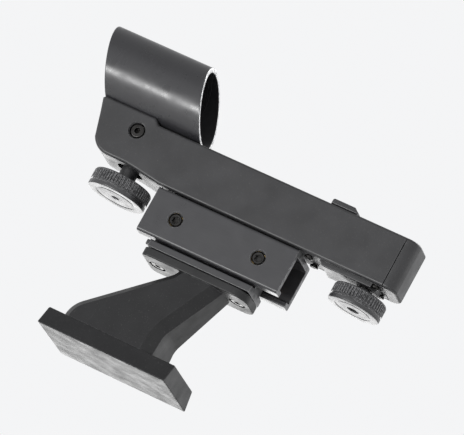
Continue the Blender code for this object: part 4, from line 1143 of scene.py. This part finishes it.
@dataclass
class Housing(SubAssembly):
    """Upper shell, rear cap, bottom cover and lamp hood."""

    wall: float = 1.3
    edge: float = 0.9
    saddle: float = 23.5
    roof: float = 75.4
    floor: float = 59.1
    cap_corner: float = 4.0
    boss: tuple[float, float] = (56.3, 57.6)
    neck_way: float = 4.6
    door_way: float = 7.6
    knob_way: float = 1.8
    pivot_well: float = 2.6
    tube_screw_way: float = 1.3
    post_radius: float = 1.9
    thread_radius: float = 1.1
    cover_screws: tuple[tuple[float, float], ...] = ((-64.9, -4.4), (-64.9, 4.4), (-41.2, -4.4), (-41.2, 4.4))

    def outside(self, rear: float) -> list[Point]:
        """Side view of the shell as (y, z)."""
        box = Extent.of("body_shell")
        nose, low, top = box.high.y, box.low.z, box.high.z
        points = [(rear, low), (13.5, low), (22.5, low + 1.3), (27, low + 1.8)]
        points += arc((nose - 10.6, low + 9.3), 7.5, -90, -28, 10)
        points += [(nose - 1.6, low + 13.6), (nose, top - 0.8), (nose - 0.8, top), (self.saddle + 1.2, top)]
        points += [(self.saddle, self.roof + 0.6), (self.saddle - 0.6, self.roof), (rear, self.roof)]
        return points

    def inside(self, rear: float) -> list[Point]:
        """Side view of the room in the shell, open below and behind."""
        below, ceiling = Extent.of("body_shell").low.z - 5, self.roof - self.wall
        points = [(rear - 5, below), (12.5, below), (12.5, 59.3), (21, 60.4), (27, 61)]
        points += arc((33.4, 67.2), 6.2, -90, -28, 8)
        points += [(41.2, 72), (42.2, ceiling), (rear - 5, ceiling)]
        return points

    def shell(self) -> None:
        """Make the upper shell with its saddle, cradle and openings."""
        box = Extent.of("body_shell")
        half, rear = box.high.x, box.low.y
        room = half - self.wall
        shape = extrusion(self.outside(rear), -half, half, Axis.X)

        def outer_rim(edge: bmesh.types.BMEdge) -> bool:
            """Tell whether an edge is on a side's rim, the rear end's left out."""
            return level_at(Axis.X, -half, half)(edge) and max(vert.co.y for vert in edge.verts) > rear + 1
        soften(shape, self.edge, 4, outer_rim)
        tube, wheel = Extent.of("sight_tube"), Extent.of("azimuth_wheel").centre
        tube_z, tube_radius = tube.high.z - tube.high.x, tube.high.x
        door, knob = Extent.of("battery_door").centre, Extent.of("brightness_knob").centre
        pivot, hood = Extent.of("pivot_screw_left").centre, Extent.of("led_hood")
        ceiling = self.roof - self.wall
        cuts = [extrusion(self.inside(rear), -room, room, Axis.X),
                bar((0, -20, tube_z), (0, 80, tube_z), tube_radius + 0.3, 160),
                bar((0, wheel.y, box.low.z - 3), (0, wheel.y, box.low.z + 4), self.neck_way, 64),
                drilled((half, door.y, door.z), (room - 1, door.y, door.z), self.door_way, 0.25, 96),
                drilled((half, knob.y, knob.z), (room - 1, knob.y, knob.z), self.knob_way),
                block((-2.2, hood.low.y + 1, ceiling - 1), (2.2, hood.high.y - 0.6, self.roof + 1))]
        for side in (-1, 1):
            mouth, end = (side * half, pivot.y, pivot.z), (side * (room - 1), pivot.y, pivot.z)
            cuts.append(drilled(mouth, end, self.pivot_well, 0.35))
        for end in ("rear", "front"):
            y = Extent.of(f"tube_screw_{end}").centre.y
            cuts.append(bar((0, y, ceiling - 1), (0, y, self.roof + 2), self.tube_screw_way))
        posts, threads = [], []
        for y, x in self.cover_screws:
            posts.append(bar((x, y, self.floor + 0.3), (x, y, ceiling + 0.5), self.post_radius))
            threads.append(bar((x, y, self.floor - 1), (x, y, 66), self.thread_radius, 24))
        piece = self.add("housing_shell", "finder", HOUSING, shape, ["body_shell"], cuts=cuts[:1])
        carve(piece, posts, Join.ONTO)
        carve(piece, cuts[1:] + threads)
        smooth(piece)

    def cap(self) -> None:
        """Make the rounded rear end and its tenon."""
        box = Extent.of("rear_cap")
        half, rear, corner = box.high.x, box.low.y, self.cap_corner
        front = Extent.of("body_shell").low.y - 0.3
        plan = mirrored([(half, front)] + arc((half - corner, rear + corner), corner, 0, -90, 14)[:-1])
        plan.insert(len(plan) // 2, (0, rear))
        shape = extrusion(plan, box.low.z, box.high.z, Axis.Z)
        soften(shape, 0.9, 4, lambda edge: level_at(Axis.Z, box.low.z, box.high.z)(edge)
               and min(vert.co.y for vert in edge.verts) < front - 0.1)
        tenon = block((-5.8, front - 1, self.floor + 0.6), (5.8, box.high.y, self.roof - self.wall - 0.3))
        self.add("housing_rear_end", "finder", HOUSING, shape, ["rear_cap"], welds=[tenon])

    def cover(self) -> None:
        """Make the floor plate with its boss, window and screw seats, and its screws."""
        box = Extent.of("bottom_cover")
        low, high = box.low, box.high
        plate_low = Extent.of("body_shell").low.z
        shape = soften(block((low.x, low.y, plate_low), (high.x, high.y, self.floor)), 0.2, 2)
        boss_low, boss_top = self.boss
        inside = plate_low + 0.4
        side = [(low.y + 1.7, inside), (low.y + 2.3, boss_low), (-46.5, boss_low), (-44.5, inside)]
        boss = soften(extrusion(side, low.x + 0.1, high.x - 0.1, Axis.X), 0.35, 3)
        wheel = Extent.of("altitude_wheel").centre
        cuts = [block((low.x + 1.2, -63.65, boss_top), (high.x - 1.2, -46.5, self.floor + 1)),
                block((-4.5, -37, plate_low - 1), (4.5, 9, self.floor + 1)),
                bar((0, wheel.y, boss_low - 1), (0, wheel.y, boss_top + 1.5), 2.15)]
        for y, x in self.cover_screws:
            cuts.append(bar((x, y, plate_low - 3), (x, y, self.floor + 1), self.thread_radius, 24))
            cuts.append(bar((x, y, plate_low - 3), (x, y, plate_low), 1.75, 32))
        self.add("housing_floor", "finder", HOUSING, shape, ["bottom_cover"], welds=[boss], cuts=cuts)
        screw = Screw(1.4, 0.7, 0.8, 6, Drive.CROSS, 0.75, 0.45)
        for end in ("rear", "front"):
            for tag in ("left", "right"):
                node = f"cover_screw_{end}_{tag}"
                centre = Extent.of(node).centre
                seat = (centre.x, centre.y, plate_low - 0.3)
                self.add_screw(node, "finder", screw, facing(seat, (0, 0, -1)))

    def hood(self) -> None:
        """Make the low cover over the lamp with its window towards the lens."""
        box = Extent.of("led_hood")
        low, high = box.low, box.high
        side = [(low.y, low.z), (high.y, low.z), (high.y, high.z - 0.7)]
        side += arc((high.y - 0.7, high.z - 0.7), 0.7, 20, 90, 4)
        side += [(low.y + 1.5, high.z), (low.y, low.z + 0.8)]
        shape = extrusion(side, low.x, high.x, Axis.X)
        soften(shape, 0.5, 4, level_at(Axis.X, low.x, high.x))
        cuts = [block((-2.2, low.y + 1.2, low.z - 1), (2.2, high.y - 0.7, high.z - 0.5)),
                block((-1.3, high.y - 2, low.z - 1), (1.3, high.y + 1, high.z - 0.9))]
        self.add("lamp_hood", "finder", HOUSING, shape, ["led_hood"], cuts=cuts)

    def build(self) -> None:
        """Make the housing's four shells."""
        self.shell()
        self.cap()
        self.cover()
        self.hood()


@dataclass
class SightTube(SubAssembly):
    """Slant-cut tube with a ribbed bore, and the tilted lens in its ring."""

    wall: float = 1.6
    slant: float = 20.0
    rear: float = 13.0
    front: float = 48.0
    lens_y: float = 34.0
    lens_tilt: float = 5.0
    lens_radius: float = 10.2
    lens_curve: float = 150.0
    lens_half: float = 0.8
    excess: float = 9.0
    ring_outer: float = 11.05
    ring_lip: float = 9.6
    ring_groove: float = 10.5

    def tube(self) -> None:
        """Make the tube, its slanted rims and its anti-glare ribs."""
        box = Extent.of("sight_tube")
        radius = box.high.x
        axis_z = box.high.z - radius
        bore = radius - self.wall
        behind, ahead = self.rear - self.excess, self.front + self.excess
        profile = [(bore, behind), (radius, behind), (radius, ahead), (bore, ahead)]
        rib = 0.55
        for start, end in ((self.front - 5.6, self.lens_y + 4), (self.lens_y - 4.4, self.rear + 5.6)):
            count = int((start - end) / rib)
            for index in range(count):
                y = start - index * rib
                profile += [(bore, y), (bore - 0.16, y - rib * 0.35), (bore, y - rib * 0.7)]
        shape = turning(profile, facing((0, 0, axis_z), (0, 1, 0)), 144)
        lean = math.radians(self.slant)
        outwards = Vector((0, math.cos(lean), -math.sin(lean)))
        planes = [(Vector((0, self.front, axis_z)), outwards), (Vector((0, self.rear, axis_z)), -outwards)]
        for place, normal in planes:
            bmesh.ops.bridge_loops(shape, edges=slice_off(shape, place, normal))
        bmesh.ops.recalc_face_normals(shape, faces=shape.faces)

        def on_rim(edge: bmesh.types.BMEdge) -> bool:
            """Tell whether an edge lies on one of the two slanted cuts."""
            return any(all(abs((vert.co - place).dot(normal)) < MERGE * 5 for vert in edge.verts)
                       for place, normal in planes)
        soften(shape, 0.28, 3, on_rim)
        places = [Extent.of(f"tube_screw_{end}").centre.y for end in ("rear", "front")]
        below = axis_z - radius
        threads = [bar((0, y, below - 1), (0, y, below + 2.8), 1.3) for y in places]

        def in_bore(centre: Vector, normal: Vector) -> bool:
            """Tell whether a face is on the wall of the bore."""
            away = Vector((centre.x, 0, centre.z - axis_z))
            return away.length < radius - 0.9 and normal.dot(away) < 0
        self.add("sight_tube_body", "finder", TUBE, shape, ["sight_tube"], cuts=threads,
                 second=both_ways(TUBE_RIM, outwards, 0.97) + [(BORE, in_bore)])

    def lens(self) -> None:
        """Make the lens and its retaining ring with two spanner notches."""
        box = Extent.of("sight_tube")
        centre = Vector((0, self.lens_y, box.high.z - box.high.x))
        lean = math.pi / 2 + math.radians(self.lens_tilt)
        place = Matrix.Translation(centre) @ Matrix.Rotation(lean, 4, "X")
        curve, half, radius = self.lens_curve, self.lens_half, self.lens_radius
        radii = [radius * i / 12 for i in range(13)]
        sags = [(r, curve - math.sqrt(curve ** 2 - r ** 2)) for r in radii]
        front = [(r, half + sag) for r, sag in sags]
        back = [(r, sag - half) for r, sag in reversed(sags)]
        self.add("reflex_lens", "finder", GLASS, turning(front + back, place, 96), ["lens"])
        outer, lip, groove = self.ring_outer, self.ring_lip, self.ring_groove
        ring = [(lip + 0.2, 2.2), (outer - 0.2, 2.2), (outer, 2.0), (outer, -1.8), (outer - 0.2, -2)]
        ring += [(lip + 0.2, -2), (lip, -1.8), (lip, -1.2), (groove, -1.2), (groove, 1.6)]
        ring += [(lip, 1.6), (lip, 2.0)]
        notches = []
        for side in (-1, 1):
            for height in (-2.4, 1.8):
                x = side * 10.4
                notches.append(placed(block((x - 1.2, -0.6, height), (x + 1.2, 0.6, height + 0.8)), place))
        self.add("lens_ring", "finder", TUBE, turning(ring, place, 120), ["lens_cell"], cuts=notches)

    def build(self) -> None:
        """Make the tube, lens and ring, and dress the screws."""
        self.tube()
        self.lens()
        self.dress(DARK_STEEL, "tube_screw_front", "tube_screw_rear")


@dataclass
class Electrics(SubAssembly):
    """Lamp, board, brightness knob, battery door and coin cell."""

    flutes: int = 18
    flute_radius: float = 0.75
    flute_offset: float = 0.42
    knob_radius: float = 6.2
    knob_height: float = 4.2
    door_radius: float = 7.3
    cell_radius: float = 6.25

    def knob(self) -> None:
        """Make the fluted knob with its pointer groove."""
        box = Extent.of("brightness_knob")
        centre, start = box.centre, box.low.x
        place = facing((start, centre.y, centre.z), (1, 0, 0))
        radius, height = self.knob_radius, self.knob_height
        profile = [(0, height - 0.25), (radius - 2.2, height - 0.25), (radius - 1.9, height)]
        profile += arc((radius - 1.5, height - 0.9), 0.9, 90, 12, 6)
        profile += [(radius, 0.5), (radius - 0.12, 0.2), (radius - 0.5, 0), (0, 0)]
        cuts = []
        for index in range(self.flutes):
            turn = Matrix.Rotation(2 * math.pi * index / self.flutes, 4, "Z")
            out = radius + self.flute_offset
            flute = bar((out, 0, 0.9), (out, 0, height + 1), self.flute_radius, 20)
            cuts.append(placed(flute, place @ turn))
        mark = block((height + start - 0.55, centre.y - 0.35, centre.z + 1.3),
                     (height + start + 1, centre.y + 0.35, centre.z + radius - 0.9))
        bore = bar((start - 1, centre.y, centre.z), (start + 2.65, centre.y, centre.z), 1.8)
        self.add("dimmer_knob", "knob", KNOB, turning(profile, place, 120), ["brightness_knob"],
                 cuts=cuts + [mark, bore])

    def door(self) -> None:
        """Make the round battery door with its coin slot, and the cell behind it."""
        box = Extent.of("battery_door")
        centre, face = box.centre, box.high.x
        place = facing((0, centre.y, centre.z), (1, 0, 0))
        disc, depth, inner = face - 1.7, box.low.x, self.cell_radius + 0.3
        radius = self.door_radius
        profile = [(0, face)] + [(radius - 0.9, face)] + arc((radius - 0.5, face - 0.5), 0.5, 90, 0, 4)
        profile += [(radius, depth), (inner, depth), (inner, disc), (0, disc)]
        slot = block((face - 0.8, centre.y - 4, centre.z - 0.7), (face + 1, centre.y + 4, centre.z + 0.7))
        soften(slot, 0.6, 5, along(Axis.X))
        notch = block((depth - 1, centre.y + 4, centre.z + 0.4), (disc - 0.1, centre.y + 9, centre.z + 3.1))
        self.add("cell_door", "battery_drawer", HOUSING, turning(profile, place, 120), ["battery_door"],
                 cuts=[slot, notch])
        cell = Extent.of("coin_cell")
        place = facing((cell.low.x, centre.y, centre.z), (1, 0, 0))
        edge, thick = self.cell_radius, cell.high.x - cell.low.x
        profile = [(0, thick), (edge - 0.3, thick), (edge, thick - 0.3), (edge, 0.6), (edge - 0.15, 0.45),
                   (edge - 0.7, 0.4), (edge - 0.9, 0.3), (edge - 1, 0), (0, 0)]
        self.add("cell_can", "battery_drawer", NICKEL, turning(profile, place, 96), ["coin_cell"])

    def build(self) -> None:
        """Make the knob and door, and dress the small electrical pieces."""
        self.knob()
        self.door()
        self.dress(LAMP, "led")
        self.dress(DARK_STEEL, "pinhole_mask")
        self.dress(BOARD, "circuit_board")
        self.dress(KNOB, "brightness_switch")
        self.dress(BRASS, "face_contact", "rim_contact")
        self.dress(STEEL, "switch_shaft")


# ------------------------------------------------------------------ studio


@dataclass
class Studio:
    """Camera, lights, world and the pale floor, in metres."""

    azimuth: float = 289.75
    elevation: float = -12.5
    roll: float = 29.0
    distance: float = 1.44
    margin: float = 1.12
    image: tuple[int, int] = (464, 435)
    floor_height: float = -0.45
    wall_light: float = 0.92
    ceiling_light: float = 0.52

    def towards(self, azimuth: float, elevation: float) -> Vector:
        """Direction from the object to a viewer at an azimuth and elevation in degrees."""
        a, e = math.radians(azimuth), math.radians(elevation)
        return Vector((math.sin(a) * math.cos(e), -math.cos(a) * math.cos(e), math.sin(e)))

    def camera(self) -> None:
        """Put the camera at the viewing angle, with the object filling the frame."""
        back = self.towards(self.azimuth, self.elevation)
        turn = (-back).to_track_quat("-Z", "Y") @ Quaternion((0, 0, 1), math.radians(self.roll))
        right, up = turn @ Vector((1, 0, 0)), turn @ Vector((0, 1, 0))
        places = [vert.co for node in frame["nodes"].values() for vert in node.data.vertices]
        across = [place.dot(right) for place in places]
        height = [place.dot(up) for place in places]
        deep = [place.dot(back) for place in places]
        target = right * (min(across) + max(across)) / 2 + up * (min(height) + max(height)) / 2
        target += back * (min(deep) + max(deep)) / 2
        wide = (max(across) - min(across)) * self.margin
        tall = (max(height) - min(height)) * self.margin
        view_width = max(wide, tall * self.image[0] / self.image[1])
        lens = bpy.data.cameras.new("camera")
        lens.sensor_width = 36.0
        lens.lens = lens.sensor_width * self.distance / view_width
        lens.clip_start = 0.05
        lens.clip_end = 20.0
        camera = bpy.data.objects.new("camera", lens)
        bpy.context.scene.collection.objects.link(camera)
        camera.rotation_mode = "QUATERNION"
        camera.rotation_quaternion = turn
        camera.location = target + back * self.distance
        bpy.context.scene.camera = camera

    def softbox(self, name: str, direction: Sequence[float], reach: float, size: tuple[float, float],
                radiance: float) -> None:
        """Hang a softbox that looks at the object.

        Args:
            name: Name of the light.
            direction: From the object to the light.
            reach: Distance from the object.
            size: Width and height.
            radiance: Brightness of its face, the world's being about 1.
        """
        light = bpy.data.lights.new(name, "AREA")
        light.shape = "RECTANGLE"
        light.size, light.size_y = size
        light.energy = radiance * math.pi * size[0] * size[1]
        lamp = bpy.data.objects.new(name, light)
        bpy.context.scene.collection.objects.link(lamp)
        aim = Vector(direction).normalized()
        lamp.location = Vector((0, -0.01, 0.06)) + aim * reach
        lamp.rotation_mode = "QUATERNION"
        lamp.rotation_quaternion = aim.to_track_quat("Z", "Y")
        lamp.visible_camera = False

    def world(self) -> None:
        """Light the scene from pale walls under a dimmer ceiling."""
        world = bpy.data.worlds.new("studio")
        world.use_nodes = True
        tree = world.node_tree
        place = tree.nodes.new("ShaderNodeTexCoord")
        split = tree.nodes.new("ShaderNodeSeparateXYZ")
        fade = tree.nodes.new("ShaderNodeMapRange")
        fade.interpolation_type = "SMOOTHSTEP"
        for name, number in (("From Min", 0.35), ("From Max", 0.8), ("To Min", self.wall_light),
                             ("To Max", self.ceiling_light)):
            fade.inputs[name].default_value = number
        tree.links.new(place.outputs["Generated"], split.inputs[0])
        tree.links.new(split.outputs["Z"], fade.inputs["Value"])
        sky = tree.nodes["Background"]
        sky.inputs["Color"].default_value = (0.985, 0.99, 1.0, 1)
        tree.links.new(fade.outputs["Result"], sky.inputs["Strength"])
        bpy.context.scene.world = world

    def floor(self) -> None:
        """Lay a plain pale floor."""
        shape = bmesh.new()
        bmesh.ops.create_grid(shape, x_segments=1, y_segments=1, size=6000)
        bmesh.ops.translate(shape, vec=(0, 0, self.floor_height / MM), verts=shape.verts)
        floor = as_object("studio_floor", shape)
        graph = Graph("pale_floor")
        graph.put("Base Color", graph.blend(graph.span(graph.noise(60, 3), 0.3, 0.7), (0.78, 0.78, 0.77),
                                            (0.81, 0.81, 0.80)))
        graph.put("Roughness", 0.75)
        floor.data.materials.append(graph.material)

    def build(self) -> None:
        """Set the studio up."""
        self.camera()
        self.world()
        self.floor()
        self.softbox("key", (-0.863, 0.33, -0.346), 0.85, (0.60, 0.12), 22.0)
        self.softbox("sweep", (0.92, 0.33, -0.20), 1.2, (0.90, 0.40), 3.0)
        self.softbox("fill", (0.3, -0.8, 0.5), 1.4, (0.8, 0.8), 1.5)
        self.softbox("top", (0.75, -0.2, 0.85), 1.4, (0.9, 0.9), 4.0)
        bpy.context.scene.view_settings.view_transform = "Standard"


def main() -> None:
    """Build every sub-assembly in order and report its pieces."""
    logging.basicConfig(level=logging.INFO, format="%(name)s: %(message)s")
    Studio().build()
    for assembly in (StalkBracket(), RailClamp(), Adjusters(), Housing(), SightTube(), Electrics()):
        assembly.build()
        assembly.report()


if __name__ == "__main__":
    main()
